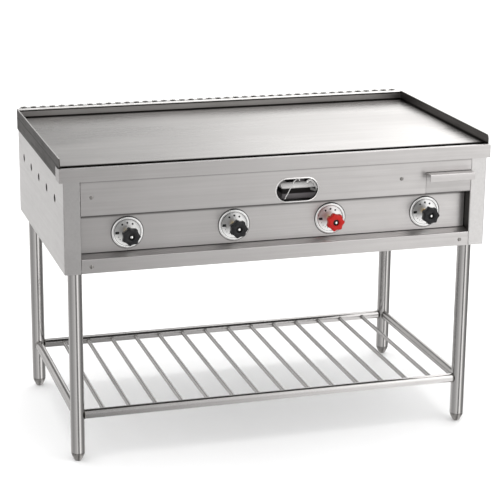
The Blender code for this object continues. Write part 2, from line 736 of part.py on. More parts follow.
def main():
    make_griddle_plate()
    make_side_guard("guard_left", -1)
    make_side_guard("guard_right", 1)
    make_back_guard()
    make_flue_vent()
    make_front_apron()
    make_grease_trough()
    make_side_panel("side_panel_left", -1)
    make_side_panel("side_panel_right", 1)
    make_back_panel()
    make_upper_front_panel()
    make_control_panel()
    make_bottom_rail()
    make_base_pan()
    make_burner_rail()
    make_gas_manifold()
    make_grease_drawer()
    for index, x in enumerate(TAP_X):
        number = index + 1
        make_burner("burner_%d" % number, x)
        make_gas_valve("gas_valve_%d" % number, x)
        make_dial_plate("dial_plate_%d" % number, x)
        make_knob("knob_%d" % number, x, "red_plastic" if number == 3 else "black_plastic")
    corners = (("front_left", -LEG_X, -LEG_Y), ("front_right", LEG_X, -LEG_Y),
               ("back_left", -LEG_X, LEG_Y), ("back_right", LEG_X, LEG_Y))
    for corner, x, y in corners:
        make_leg("leg_" + corner, x, y)
        make_foot("foot_" + corner, x, y)
    make_shelf()


main()
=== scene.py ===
"""Looks of the flat top gas griddle: sheet metal, castings, taps, tube stand and studio."""
import json
import math

import bmesh
import bpy
from mathutils import Matrix, Vector


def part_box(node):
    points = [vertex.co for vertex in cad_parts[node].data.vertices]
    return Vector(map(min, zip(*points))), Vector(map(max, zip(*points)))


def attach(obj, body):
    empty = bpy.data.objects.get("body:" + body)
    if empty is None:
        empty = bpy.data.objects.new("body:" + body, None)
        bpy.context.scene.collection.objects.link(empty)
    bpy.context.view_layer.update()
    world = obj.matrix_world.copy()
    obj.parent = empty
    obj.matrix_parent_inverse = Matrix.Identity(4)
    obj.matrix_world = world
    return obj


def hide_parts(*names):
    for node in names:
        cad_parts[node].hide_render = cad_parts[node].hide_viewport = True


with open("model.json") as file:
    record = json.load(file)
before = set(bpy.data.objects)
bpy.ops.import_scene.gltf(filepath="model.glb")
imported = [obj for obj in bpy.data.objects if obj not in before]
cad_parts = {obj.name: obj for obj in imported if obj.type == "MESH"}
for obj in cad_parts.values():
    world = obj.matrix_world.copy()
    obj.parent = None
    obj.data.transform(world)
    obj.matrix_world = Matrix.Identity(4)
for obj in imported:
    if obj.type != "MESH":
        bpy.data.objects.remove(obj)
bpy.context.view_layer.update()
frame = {"nodes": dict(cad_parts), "record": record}


def record_row(rows, name):
    """One named row of a list in the part's record."""
    return next(row for row in rows if row["name"] == name)


FRAME_BODY = "frame"
TAPS = (1, 2, 3, 4)
RED_TAP = 3
CORNERS = ("front_left", "front_right", "back_left", "back_right")
RODS = range(1, 15)

GAUGE = 0.0015           # body sheet
GUARD_GAUGE = 0.003      # guard sheet
FOLD = 0.0016            # bend radius of the body sheet
GAP = 0.0003             # room between two pieces that touch
MERGE = 0.000005         # points closer than this are one

HOLE_LOW, HOLE_HIGH = record_row(frame["record"]["physics"]["openings"], "lighting_hole")["box_m"]
HOLE_CENTRE = ((HOLE_LOW[0] + HOLE_HIGH[0]) / 2, (HOLE_LOW[2] + HOLE_HIGH[2]) / 2)
INLET_X = record_row(frame["record"]["mounts"], "gas_inlet_end")["pos_m"][0]


# ---------------------------------------------------------------- wiring of finishes

EVENLY = (1.0, 1.0, 1.0)
GRAIN_ALONG = {"X": (0.012, 1.0, 1.0), "Y": (1.0, 0.012, 1.0), "Z": (1.0, 1.0, 0.012)}
# dark tone for grease baked into joints and for painted shade inside the body and under overhangs
SOOT_AND_SHADE = (0.02, 0.018, 0.016)
# tone of the painted shade that darkens the front sheets towards the left end
PAINTED_SHADE_TONE = (0.22, 0.212, 0.212)
HEAT_STAIN = (0.20, 0.19, 0.185)
RUBBED_BRIGHT = (0.78, 0.77, 0.76)


def new_finish(name, metallic=0.0):
    """An empty material with its node tree and shader, ready for wiring."""
    material = bpy.data.materials.new(name)
    material.use_nodes = True
    tree = material.node_tree
    shader = tree.nodes["Principled BSDF"]
    shader.inputs["Metallic"].default_value = metallic
    return material, tree, shader


def noise(tree, scale, detail, stretch=EVENLY, roughness=0.6):
    """Noise on the piece's own coordinates, drawn out along the small stretch values."""
    coordinates = tree.nodes.new("ShaderNodeTexCoord")
    mapping = tree.nodes.new("ShaderNodeMapping")
    mapping.inputs["Scale"].default_value = stretch
    pattern = tree.nodes.new("ShaderNodeTexNoise")
    pattern.inputs["Scale"].default_value = scale
    pattern.inputs["Detail"].default_value = detail
    pattern.inputs["Roughness"].default_value = roughness
    tree.links.new(coordinates.outputs["Object"], mapping.inputs["Vector"])
    tree.links.new(mapping.outputs["Vector"], pattern.inputs["Vector"])
    return pattern.outputs["Fac"]


def ranged(tree, source, low, high, start=0.3, end=0.7):
    """Map a noise value from its usual span to a working range."""
    spread = tree.nodes.new("ShaderNodeMapRange")
    spread.inputs["From Min"].default_value = start
    spread.inputs["From Max"].default_value = end
    spread.inputs["To Min"].default_value = low
    spread.inputs["To Max"].default_value = high
    tree.links.new(source, spread.inputs["Value"])
    return spread.outputs["Result"]


def blended(tree, factor, first, second):
    """Mix two colours, each fixed or already wired."""
    mix = tree.nodes.new("ShaderNodeMix")
    mix.data_type = "RGBA"
    for socket, colour in (("A", first), ("B", second)):
        if isinstance(colour, tuple):
            mix.inputs[socket].default_value = (*colour, 1.0)
        else:
            tree.links.new(colour, mix.inputs[socket])
    tree.links.new(factor, mix.inputs["Factor"])
    return mix.outputs["Result"]


def combined(tree, operation, values):
    """Fold several values into one with one maths operation."""
    total = values[0]
    for value in values[1:]:
        node = tree.nodes.new("ShaderNodeMath")
        node.operation = operation
        tree.links.new(total, node.inputs[0])
        tree.links.new(value, node.inputs[1])
        total = node.outputs["Value"]
    return total


def sum_of(tree, *values):
    return combined(tree, "ADD", values)


def by_position(tree, axis, start, end, strength=1.0):
    """0 to the strength between two places along one axis of the piece."""
    coordinates = tree.nodes.new("ShaderNodeTexCoord")
    split = tree.nodes.new("ShaderNodeSeparateXYZ")
    tree.links.new(coordinates.outputs["Object"], split.inputs["Vector"])
    return ranged(tree, split.outputs[axis], 0.0, strength, start, end)


def where_all(tree, *spans):
    """Full where every span of (axis, start, end, strength) is full."""
    return combined(tree, "MULTIPLY", [by_position(tree, *span) for span in spans])


def where_any(tree, *spans):
    """Full where at least one span is full."""
    return combined(tree, "MAXIMUM", [by_position(tree, *span) for span in spans])


def wire_up(tree, shader, colour, gloss, relief, strength, depth):
    """Give a finish its colour, roughness and fine relief."""
    tree.links.new(colour, shader.inputs["Base Color"])
    tree.links.new(gloss, shader.inputs["Roughness"])
    bump = tree.nodes.new("ShaderNodeBump")
    bump.inputs["Strength"].default_value = strength
    bump.inputs["Distance"].default_value = depth
    tree.links.new(relief, bump.inputs["Height"])
    tree.links.new(bump.outputs["Normal"], shader.inputs["Normal"])


def mottled(tree, broad, minor, dark, light):
    """Two tones mixed by a broad pattern and a minor one."""
    tone = sum_of(tree, ranged(tree, broad, 0.0, 0.6), ranged(tree, minor, 0.0, 0.4))
    return blended(tree, tone, dark, light)


# ---------------------------------------------------------------- kinds of metal and plastic

def brushed_steel(name, dark, light, grain="X", roughness=(0.28, 0.42), smudge=0.06,
                  grain_depth=0.12, soil_and_shade=None, trim=None, painted_shade=None, edge_tint=1.0):
    """Brushed stainless: grain, cloudy rolling marks, wiped smudges, painted shade that darkens it
    towards one side, rubbed trim, and a dark soil mask that is real grease on the guards and
    painted shade on the other pieces.
    """
    material, tree, shader = new_finish(name, 1.0)
    shader.inputs["Specular Tint"].default_value = (edge_tint, edge_tint, edge_tint, 1.0)
    fine = noise(tree, 900.0, 3.0, GRAIN_ALONG[grain])
    streak = noise(tree, 160.0, 5.0, GRAIN_ALONG[grain])
    cloud = noise(tree, 5.0, 3.0, roughness=0.5)
    wiped = noise(tree, 22.0, 4.0, (1.0, 1.0, 2.2))
    colour = mottled(tree, streak, cloud, dark, light)
    # the soil mask darkens with grease at the guard joints and with painted shade everywhere else
    for amount, cover in ((painted_shade, PAINTED_SHADE_TONE), (trim, RUBBED_BRIGHT), (soil_and_shade, SOOT_AND_SHADE)):
        if amount is not None:
            colour = blended(tree, amount(tree), colour, cover)
    gloss = sum_of(tree, ranged(tree, fine, *roughness), ranged(tree, wiped, 0.0, smudge))
    wire_up(tree, shader, colour, gloss, fine, grain_depth, 0.0002)
    return material


def ground_plate_steel(name):
    """Thick cooking plate, ground and polished: long streaks, scrape marks and heat stain."""
    material, tree, shader = new_finish(name, 1.0)
    long_streak = noise(tree, 7.0, 5.0, (0.35, 6.0, 1.0), 0.55)
    scrape = noise(tree, 260.0, 4.0, (0.02, 1.0, 1.0))
    stain = noise(tree, 3.2, 3.0, (0.8, 1.6, 1.0), 0.5)
    colour = mottled(tree, long_streak, scrape, (0.53, 0.518, 0.509), (0.61, 0.597, 0.588))
    low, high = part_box("griddle_plate")
    colour = blended(tree, by_position(tree, "Y", high.y - 0.150, high.y - 0.020, 0.48),
                     colour, HEAT_STAIN)
    joints = where_any(tree, ("X", low.x + 0.006, low.x + 0.003),
                       ("X", high.x - 0.012, high.x - 0.006),
                       ("Y", high.y - 0.019, high.y - 0.011),
                       ("Y", low.y + 0.0085, low.y + 0.0045),
                       ("Z", high.z - 0.0022, high.z - 0.0045))
    colour = blended(tree, joints, colour, SOOT_AND_SHADE)
    gloss = sum_of(tree, ranged(tree, scrape, 0.20, 0.30), ranged(tree, stain, 0.0, 0.14))
    wire_up(tree, shader, colour, gloss, scrape, 0.10, 0.0003)
    return material


def plated_chrome(name, roughness):
    """Bright plating with a little haze and fine pitting."""
    material, tree, shader = new_finish(name, 1.0)
    haze = noise(tree, 60.0, 3.0)
    pits = noise(tree, 1400.0, 2.0)
    wire_up(tree, shader, blended(tree, haze, (0.86, 0.86, 0.86), (0.95, 0.95, 0.94)),
            ranged(tree, haze, *roughness), pits, 0.03, 0.0001)
    return material


def moulded_plastic(name, dark, light, roughness):
    """Moulded phenolic with a fine orange-peel skin and handling wear."""
    material, tree, shader = new_finish(name)
    shader.inputs["Specular IOR Level"].default_value = 0.22
    skin = noise(tree, 700.0, 3.0)
    wear = noise(tree, 70.0, 4.0)
    wire_up(tree, shader, blended(tree, ranged(tree, wear, 0.0, 1.0), dark, light),
            ranged(tree, wear, *roughness), skin, 0.08, 0.0002)
    return material


def rough_metal(name, dark, light, roughness, metallic, relief=0.35):
    """Cast, scaled or painted metal with grit and blotches."""
    material, tree, shader = new_finish(name, metallic)
    grit = noise(tree, 420.0, 5.0)
    blotch = noise(tree, 18.0, 4.0)
    wire_up(tree, shader, blended(tree, ranged(tree, blotch, 0.0, 1.0), dark, light),
            ranged(tree, grit, *roughness), grit, relief, 0.0006)
    return material


def burner_painted_bands(name):
    """Burner tube with painted reflection bands: bright along the top, black in the middle and dull
    below.
    """
    material, tree, shader = new_finish(name, 0.25)
    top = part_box("burner_1")[1].z
    grit = noise(tree, 300.0, 4.0, (0.3, 1.0, 1.0))
    blotch = noise(tree, 30.0, 4.0)
    colour = blended(tree, ranged(tree, blotch, 0.0, 1.0), (0.74, 0.72, 0.71), (0.88, 0.87, 0.86))
    # black middle band: painted reflection of the dark inside of the body
    colour = blended(tree, by_position(tree, "Z", top - 0.0100, top - 0.0130), colour,
                     (0.012, 0.011, 0.011))
    # dull lower band: painted shade
    colour = blended(tree, by_position(tree, "Z", top - 0.0245, top - 0.0270), colour,
                     (0.16, 0.15, 0.155))
    wire_up(tree, shader, colour, ranged(tree, grit, 0.32, 0.5), grit, 0.12, 0.0004)
    return material


# ---------------------------------------------------------------- where soil, wear and painted shade lie

def painted_shade_inside_and_under_edges(tree):
    """Painted shade behind the upper front sheet, and painted shadow along its top under the
    apron's seam and along its bottom fold.
    """
    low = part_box("upper_front_panel")[0]
    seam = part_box("front_apron")[0].z
    return where_any(tree, ("Y", low.y + 0.0018, low.y + 0.0030),
                     ("Z", low.z + 0.0022, low.z + 0.0008, 0.7),
                     ("Z", seam - 0.0050, seam - 0.0005, 0.45))


def painted_shade_to_left(tree):
    """Painted shade, darker towards the left end of the front."""
    return by_position(tree, "X", 0.30, -0.60, 0.36)


def painted_shade_on_left_post(tree):
    """The same painted shade on the narrow front of the left post."""
    low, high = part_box("side_panel_left")
    return where_all(tree, ("X", high.x + 0.010, high.x),
                     ("Y", low.y + 0.0012, low.y + 0.0004, 0.42))


def painted_shadow_under_overhang(tree):
    """Painted shadow on the control panel under the overhanging sheet, and painted shade behind it.
    """
    low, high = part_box("control_panel")
    return where_any(tree, ("Z", high.z - 0.016, high.z - 0.0105, 0.8),
                     ("Y", low.y + 0.0005, low.y + 0.0010))


def painted_shade_behind_sides(tree):
    """Painted shade inside the side sheets and on their returns into the recess."""
    low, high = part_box("side_panel_right")
    return where_all(tree, ("Y", low.y + 0.0012, low.y + 0.0035),
                     ("Y", high.y - 0.0010, high.y - 0.0020),
                     ("X", high.x - 0.0010, high.x - 0.0013),
                     ("X", 0.0010 - high.x, 0.0013 - high.x))


def painted_shade_on_back(tree):
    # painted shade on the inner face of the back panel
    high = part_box("back_panel")[1]
    return by_position(tree, "Y", high.y - 0.0004, high.y - 0.0010)


def painted_shade_in_hole_rim(tree):
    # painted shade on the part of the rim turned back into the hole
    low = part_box("upper_front_panel")[0]
    return by_position(tree, "Y", low.y - 0.0006, low.y + 0.0004)


def painted_shade_in_flue(tree):
    """Painted shade inside the flue cap, below its top sheet."""
    low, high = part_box("flue_vent")
    return where_all(tree, ("Y", low.y + 0.0010, low.y + 0.0014),
                     ("Y", high.y - 0.0010, high.y - 0.0014),
                     ("Z", high.z - 0.0008, high.z - 0.0014))


def painted_shade_under_hoods(tree):
    """Painted shade inside the flue holes, under the raised back half of each hood."""
    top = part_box("flue_vent")[1].z
    return by_position(tree, "Z", top + 0.0012, top + 0.0006)


def line_at_level(level, reach):
    """The two spans that leave a narrow line round one height."""
    return ("Z", level - reach, level - reach / 2), ("Z", level + reach, level + reach / 2)


def guard_base_line(tree):
    """Grease baked into the joint between a guard and the cooking plate."""
    return where_all(tree, *line_at_level(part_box("griddle_plate")[1].z + 0.0012, 0.0026))


def hem_shadow_and_foot_grease(tree):
    """Painted shadow under the folded hem of the back guard, and grease baked along its foot."""
    line = where_all(tree, *line_at_level(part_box("guard_back")[1].z - 0.0062, 0.0022))
    return combined(tree, "MAXIMUM", (line, guard_base_line(tree)))


def rubbed_top_edge(tree):
    """Guard edge rubbed bright by scrapers."""
    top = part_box("guard_left")[1].z
    return by_position(tree, "Z", top - 0.0016, top - 0.0008)


def rubbed_hem(tree):
    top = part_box("guard_back")[1].z
    return by_position(tree, "Z", top - 0.0042, top - 0.0034)


def shaded_lip(tree):
    """Painted shade on the inner faces of the drawer's pull lip."""
    low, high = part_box("grease_drawer")
    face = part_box("upper_front_panel")[0].y
    return where_all(tree, ("Y", low.y + 0.0012, low.y + 0.0020),
                     ("Y", face + 0.0002, face - 0.0006),
                     ("Z", high.z - 0.0009, high.z - 0.0014, 0.5))


# ---------------------------------------------------------------- the finishes of this griddle

PANEL_TONES = ((0.50, 0.485, 0.48), (0.60, 0.585, 0.58))
POLISHED = {"smudge": 0.05, "grain_depth": 0.03}

PANEL_STEEL = brushed_steel("brushed_panel_steel", *PANEL_TONES, painted_shade=painted_shade_to_left)
UPPER_FRONT_STEEL = brushed_steel("brushed_upper_front_steel", *PANEL_TONES, soil_and_shade=painted_shade_inside_and_under_edges,
                                  painted_shade=painted_shade_to_left)
CONTROL_STEEL = brushed_steel("brushed_control_panel_steel", *PANEL_TONES,
                              soil_and_shade=painted_shadow_under_overhang, painted_shade=painted_shade_to_left)
DRAWER_STEEL = brushed_steel("brushed_drawer_steel", *PANEL_TONES, soil_and_shade=shaded_lip)
SIDE_STEEL = brushed_steel("brushed_side_steel", (0.56, 0.55, 0.545), (0.66, 0.65, 0.645), "Y",
                           soil_and_shade=painted_shade_behind_sides, painted_shade=painted_shade_on_left_post)
GUARD_STEEL = brushed_steel("brushed_guard_steel", (0.045, 0.042, 0.040), (0.15, 0.142, 0.137),
                            "Y", soil_and_shade=guard_base_line, trim=rubbed_top_edge, edge_tint=0.62)
BACK_GUARD_STEEL = brushed_steel("brushed_back_guard_steel", (0.22, 0.21, 0.205),
                                 (0.38, 0.37, 0.36), soil_and_shade=hem_shadow_and_foot_grease, trim=rubbed_hem)
BACK_STEEL = brushed_steel("brushed_back_steel", *PANEL_TONES, soil_and_shade=painted_shade_on_back)
# the turned rim of the lighting hole is painted far brighter than its sheet as a highlight, with
# painted shade inside the hole
HOLE_RIM_PAINTED_LIGHT = brushed_steel("rolled_hole_rim_painted_light", (0.80, 0.79, 0.78), (0.92, 0.91, 0.90),
                               soil_and_shade=painted_shade_in_hole_rim)
# the hoods are pressed from the cap's own sheet but painted far brighter as a highlight, with
# painted shade under them
HOOD_PAINTED_LIGHT = brushed_steel("pressed_flue_hoods_painted_light", (0.66, 0.65, 0.64), (0.80, 0.79, 0.78),
                           soil_and_shade=painted_shade_under_hoods)
VENT_STEEL = brushed_steel("brushed_vent_steel", (0.40, 0.39, 0.38), (0.52, 0.51, 0.50),
                           soil_and_shade=painted_shade_in_flue)
TUBE_STEEL = brushed_steel("polished_leg_tube", (0.44, 0.43, 0.425), (0.54, 0.53, 0.525), "Z",
                           (0.10, 0.18), **POLISHED)
RAIL_STEEL = brushed_steel("polished_rail_tube", (0.44, 0.43, 0.425), (0.55, 0.54, 0.535), "X",
                           (0.12, 0.20), **POLISHED)
# painted shade: the same polished tube as the legs, made darker for the shelf rods and the side
# rails under the body
ROD_STEEL_PAINTED_SHADE = brushed_steel("polished_shelf_rod_painted_shade", (0.27, 0.265, 0.26), (0.40, 0.39, 0.385), "Y",
                          (0.14, 0.24), **POLISHED)
MILL_STEEL = brushed_steel("mill_finish_steel", (0.22, 0.22, 0.22), (0.34, 0.34, 0.34), "Y",
                           (0.35, 0.5))
SCREW_STEEL = brushed_steel("turned_screw_steel", (0.20, 0.19, 0.18), (0.34, 0.33, 0.32), "Z",
                            (0.2, 0.3))
FOOT_STEEL = brushed_steel("foot_steel", (0.16, 0.155, 0.15), (0.32, 0.31, 0.30), "Z", (0.2, 0.32))
PLATE_STEEL = ground_plate_steel("ground_plate_steel")
CHROME = plated_chrome("plated_chrome", (0.06, 0.14))
SATIN_CHROME = plated_chrome("satin_chrome", (0.34, 0.44))
BRASS = rough_metal("turned_brass", (0.55, 0.38, 0.14), (0.78, 0.58, 0.26), (0.22, 0.36), 1.0, 0.05)
BURNER_PAINTED_BANDS = burner_painted_bands("burner_steel_painted_reflection")
PILOT_METAL = rough_metal("wiped_pilot_metal", (0.50, 0.49, 0.48), (0.66, 0.65, 0.64),
                          (0.35, 0.50), 0.2, 0.05)
# near-black painted shade for the base pan and the burner rail inside the body
MILL_STEEL_PAINTED_SHADE = rough_metal("mill_steel_painted_shade", (0.02, 0.019, 0.018), (0.06, 0.058, 0.056),
                          (0.5, 0.7), 0.6, 0.3)
GREASY_STEEL = rough_metal("greasy_trough_steel", (0.012, 0.011, 0.010), (0.05, 0.046, 0.042),
                           (0.3, 0.5), 0.7, 0.2)
PIPE_BLACK = rough_metal("painted_supply_pipe", (0.03, 0.03, 0.03), (0.06, 0.06, 0.058),
                         (0.35, 0.5), 0.0, 0.1)
KNOB_BLACK = moulded_plastic("black_phenolic", (0.006, 0.006, 0.007), (0.016, 0.016, 0.017),
                             (0.22, 0.36))
KNOB_RED = moulded_plastic("red_phenolic", (0.29, 0.005, 0.004), (0.39, 0.010, 0.007), (0.24, 0.36))
ENAMEL_BLACK = moulded_plastic("black_dial_enamel", (0.006, 0.006, 0.006), (0.012, 0.012, 0.012),
                               (0.30, 0.45))


# ---------------------------------------------------------------- shop tools

def on_frame(shape, name, finish, nodes=(), body=FRAME_BODY, smooth_angle=35.0):
    """Turn a shape into a piece of the object, on its body and in place of its CAD nodes."""
    for edge in shape.edges:
        if len(edge.link_faces) != 2 or edge.calc_face_angle(0.0) > math.radians(smooth_angle):
            edge.smooth = False
    for face in shape.faces:
        face.smooth = True
    mesh = bpy.data.meshes.new(name)
    shape.to_mesh(mesh)
    shape.free()
    mesh.materials.append(finish)
    piece = bpy.data.objects.new(name, mesh)
    bpy.context.scene.collection.objects.link(piece)
    if nodes:
        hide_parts(*nodes)
    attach(piece, body)
    return piece


def refinish(node, finish):
    """Give a CAD node whose shape is already right its real finish."""
    mesh = frame["nodes"][node].data
    if not mesh.materials:
        mesh.materials.append(finish)
    for index in range(len(mesh.materials)):
        mesh.materials[index] = finish


def add_wall(piece, gauge, offset=0.0, even=True):
    """Give a bent surface the sheet's thickness: 0 grows it both ways, -1 inwards only."""
    wall = piece.modifiers.new("gauge", "SOLIDIFY")
    wall.thickness = gauge
    wall.offset = offset
    wall.use_even_offset = even


def ease_edges(piece, width, segments=2, angle=35.0):
    """Round the sharp edges of a piece a little."""
    ease = piece.modifiers.new("eased edges", "BEVEL")
    ease.width = width
    ease.segments = segments
    ease.limit_method = "ANGLE"
    ease.angle_limit = math.radians(angle)
    ease.profile = 0.5
    ease.harden_normals = True


def thicken(piece, gauge=GAUGE, edge=0.0003):
    """Give a bent surface its wall and ease its cut edges."""
    add_wall(piece, gauge)
    ease_edges(piece, edge, 2, 60.0)


def move_along(shape, made, travel):
    """Shift the points among the things that an extrusion has just made."""
    moved = [item for item in made["geom"] if isinstance(item, bmesh.types.BMVert)]
    bmesh.ops.translate(shape, vec=travel, verts=moved)


def clean(shape):
    """Merge doubled points and turn every face outwards."""
    bmesh.ops.remove_doubles(shape, verts=shape.verts, dist=MERGE)
    bmesh.ops.recalc_face_normals(shape, faces=shape.faces)


def add_block(shape, low, high):
    """Add a box between two corners to a shape."""
    verts = bmesh.ops.create_cube(shape, size=1.0)["verts"]
    bmesh.ops.scale(shape, vec=[b - a for a, b in zip(low, high)], verts=verts)
    bmesh.ops.translate(shape, vec=[(a + b) / 2 for a, b in zip(low, high)], verts=verts)


def facing(start, end):
    """The turn and move that lay the Z axis from one point to another, centred between them."""
    start = Vector(start)
    end = Vector(end)
    turn = (end - start).to_track_quat("Z", "Y").to_matrix().to_4x4()
    return Matrix.Translation((start + end) / 2) @ turn


def add_bar(shape, start, end, radius, sides=32, end_radius=None):
    """Add a round bar or a cone between two points to a shape."""
    last = radius if end_radius is None else end_radius
    bmesh.ops.create_cone(shape, cap_ends=True, segments=sides, radius1=radius, radius2=last,
                          depth=(Vector(end) - Vector(start)).length, matrix=facing(start, end))


def add_bent_wire(shape, run, origin, radius, sides=16):
    """Add a wire through points given from an origin."""
    places = [Vector(point) + Vector(origin) for point in run]
    for start, end in zip(places, places[1:]):
        add_bar(shape, start, end, radius, sides)


def spun(shape, outline, place, steps):
    """Spin an outline about Z, close it and put it in its place."""
    bmesh.ops.spin(shape, geom=outline, cent=(0, 0, 0), axis=(0, 0, 1), angle=2 * math.pi,
                   steps=steps, use_merge=True, use_duplicate=False)
    clean(shape)
    bmesh.ops.transform(shape, matrix=place, verts=shape.verts)
    return shape


def turned_shape(profile, place, sides=40):
    """A new shape from a profile of (radius, height) points spun about Z and put in place."""
    shape = bmesh.new()
    row = [shape.verts.new((radius, 0, height)) for radius, height in profile]
    edges = [shape.edges.new(pair) for pair in zip(row, row[1:])]
    return spun(shape, row + edges, place, sides)


def tube_shape(start, end, radius, wall, sides):
    """A hollow tube between two points."""
    half = (Vector(end) - Vector(start)).length / 2
    inner = radius - wall
    shape = bmesh.new()
    row = [shape.verts.new((r, 0, h)) for r, h in ((radius, half), (radius, -half),
                                                   (inner, -half), (inner, half))]
    edges = [shape.edges.new((row[i], row[(i + 1) % 4])) for i in range(4)]
    return spun(shape, row + edges, facing(start, end), sides)


def merge_into(shape, other):
    """Move another shape into this one."""
    mesh = bpy.data.meshes.new("part")
    other.to_mesh(mesh)
    other.free()
    shape.from_mesh(mesh)
    bpy.data.meshes.remove(mesh)


def add_wire_ring(shape, place, radius, wire, count=28):
    """Add a round rim or bead, made by spinning a six-sided wire."""
    part = bmesh.new()
    upright = Matrix.Translation((radius, 0, 0)) @ Matrix.Rotation(math.pi / 2, 4, "X")
    verts = bmesh.ops.create_circle(part, segments=6, radius=wire, matrix=upright)["verts"]
    edges = list({edge for vert in verts for edge in vert.link_edges})
    merge_into(shape, spun(part, verts + edges, place, count))


def round_edges(shape, edges, radius, segments=4):
    """Round chosen edges and keep the flat walls beside them flat."""
    made = bmesh.ops.bevel(shape, geom=edges, offset=radius, offset_type="OFFSET",
                           segments=segments, profile=0.5, affect="EDGES", material=-1,
                           clamp_overlap=True)
    bends = set(made["faces"])
    for edge in shape.edges:
        if len({face in bends for face in edge.link_faces}) == 2:
            edge.smooth = False


def round_folds(shape, fold=FOLD):
    """Round the edges where two walls of a sheet meet."""
    bmesh.ops.recalc_face_normals(shape, faces=shape.faces)
    folds = [edge for edge in shape.edges
             if len(edge.link_faces) == 2 and edge.calc_face_angle(0.0) > math.radians(5)]
    if folds:
        round_edges(shape, folds, fold)


def folded_edges(shape):
    """The edges between two walls, and none at a free end."""
    return [edge for edge in shape.edges if len(edge.link_faces) == 2]


def bent_sheet(line, start, end, fold=FOLD):
    """A sheet with folds along X through a line of (y, z) points."""
    shape = bmesh.new()
    row = [shape.verts.new((start, y, z)) for y, z in line]
    edges = [shape.edges.new(pair) for pair in zip(row, row[1:])]
    move_along(shape, bmesh.ops.extrude_edge_only(shape, edges=edges), (end - start, 0, 0))
    round_folds(shape, fold)
    return shape


def outline_loop(shape, points, to_world):
    """Lay a closed loop of edges through plane points."""
    row = [shape.verts.new(to_world(a, b)) for a, b in points]
    return [shape.edges.new((row[i], row[(i + 1) % len(row)])) for i in range(len(row))]


def circle_points(centre, radius, count, start=0.0, end=360.0):
    """Points round a whole circle, or along a part of one with both its ends."""
    last = count if end - start >= 360.0 else count + 1
    angles = [math.radians(start + (end - start) / count * index) for index in range(last)]
    return [(centre[0] + radius * math.cos(a), centre[1] + radius * math.sin(a)) for a in angles]


def obround(centre, length, height, steps=16):
    """Points round a long hole with half-round ends."""
    reach = (length - height) / 2
    right = circle_points((centre[0] + reach, centre[1]), height / 2, steps, -90, 90)
    left = circle_points((centre[0] - reach, centre[1]), height / 2, steps, 90, 270)
    return right + left


def pierced_sheet(outline, holes, to_world):
    """A flat sheet with holes, filled between its outline and the hole loops."""
    shape = bmesh.new()
    loops = outline_loop(shape, outline, to_world)
    for hole in holes:
        loops += outline_loop(shape, hole, to_world)
    bmesh.ops.triangle_fill(shape, use_beauty=True, use_dissolve=False, edges=loops)
    return shape


def grow_flange(shape, chosen, travel):
    """Fold a further flange out of the free edges that the test picks."""
    edges = [edge for edge in shape.edges
             if len(edge.link_faces) == 1 and all(chosen(v.co) for v in edge.verts)]
    move_along(shape, bmesh.ops.extrude_edge_only(shape, edges=edges), travel)


def level_with(place, line, tolerance=0.0002):
    """Whether a place lies on a line across its axis."""
    return abs(place - line) < tolerance


# ---------------------------------------------------------------- cooking top

GUARD_CORNER = 0.014     # round of a side guard's upper front corner
FLANGE_STOP = 0.024      # a side flange ends this far before the plate's back edge
HEM_FOLD = 0.0022
FLUE_HOLES = 42
FLUE_PITCH = 0.028
FLUE_RADIUS = 0.010
HOOD_WALL = 0.0006
HOOD_RISE = 0.0030
HOOD_LEAN = 11.0
APRON_FOLD = 0.0018
SLOT_LIP = 0.013         # depth of the apron's lip in the grease slot


def make_cooking_plate():
    shape = bmesh.new()
    add_block(shape, *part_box("griddle_plate"))
    plate = on_frame(shape, "cooking_plate", PLATE_STEEL, ["griddle_plate"])
    ease_edges(plate, 0.0012, 3)


def make_side_guard(node, side):
    """Upright plate with a rounded front corner, and the flange that carries the cooking plate."""
    low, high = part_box(node)
    plate_low, plate_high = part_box("griddle_plate")
    outer = low.x if side < 0 else high.x
    inner = outer - side * GUARD_GAUGE
    flange_end = high.x if side < 0 else low.x
    seat = plate_low.z - GAP
    guard = bmesh.new()
    add_block(guard, (min(outer, inner), low.y, low.z), (max(outer, inner), high.y, high.z))
    corner = [edge for edge in guard.edges
              if all(level_with(v.co.y, low.y) and level_with(v.co.z, high.z) for v in edge.verts)]
    round_edges(guard, corner, GUARD_CORNER, 8)
    add_block(guard, (min(inner, flange_end), plate_low.y, seat - GUARD_GAUGE),
              (max(inner, flange_end), plate_high.y - FLANGE_STOP, seat))
    piece = on_frame(guard, node + "_plate", GUARD_STEEL, [node])
    ease_edges(piece, 0.0006, 3)


def make_back_guard():
    """Low wall behind the plate: a foot under the plate and a hem folded back along its top."""
    low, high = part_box("guard_back")
    plate_low, plate_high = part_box("griddle_plate")
    half = GUARD_GAUGE / 2
    wall = plate_high.y + GAP + half
    seat = plate_low.z - GAP - half
    top = high.z - half
    shape = bent_sheet([(low.y, seat), (wall, seat), (wall, top), (high.y, top)],
                       low.x, high.x, HEM_FOLD)
    guard = on_frame(shape, "guard_back_plate", BACK_GUARD_STEEL, ["guard_back"])
    thicken(guard, GUARD_GAUGE, 0.0004)


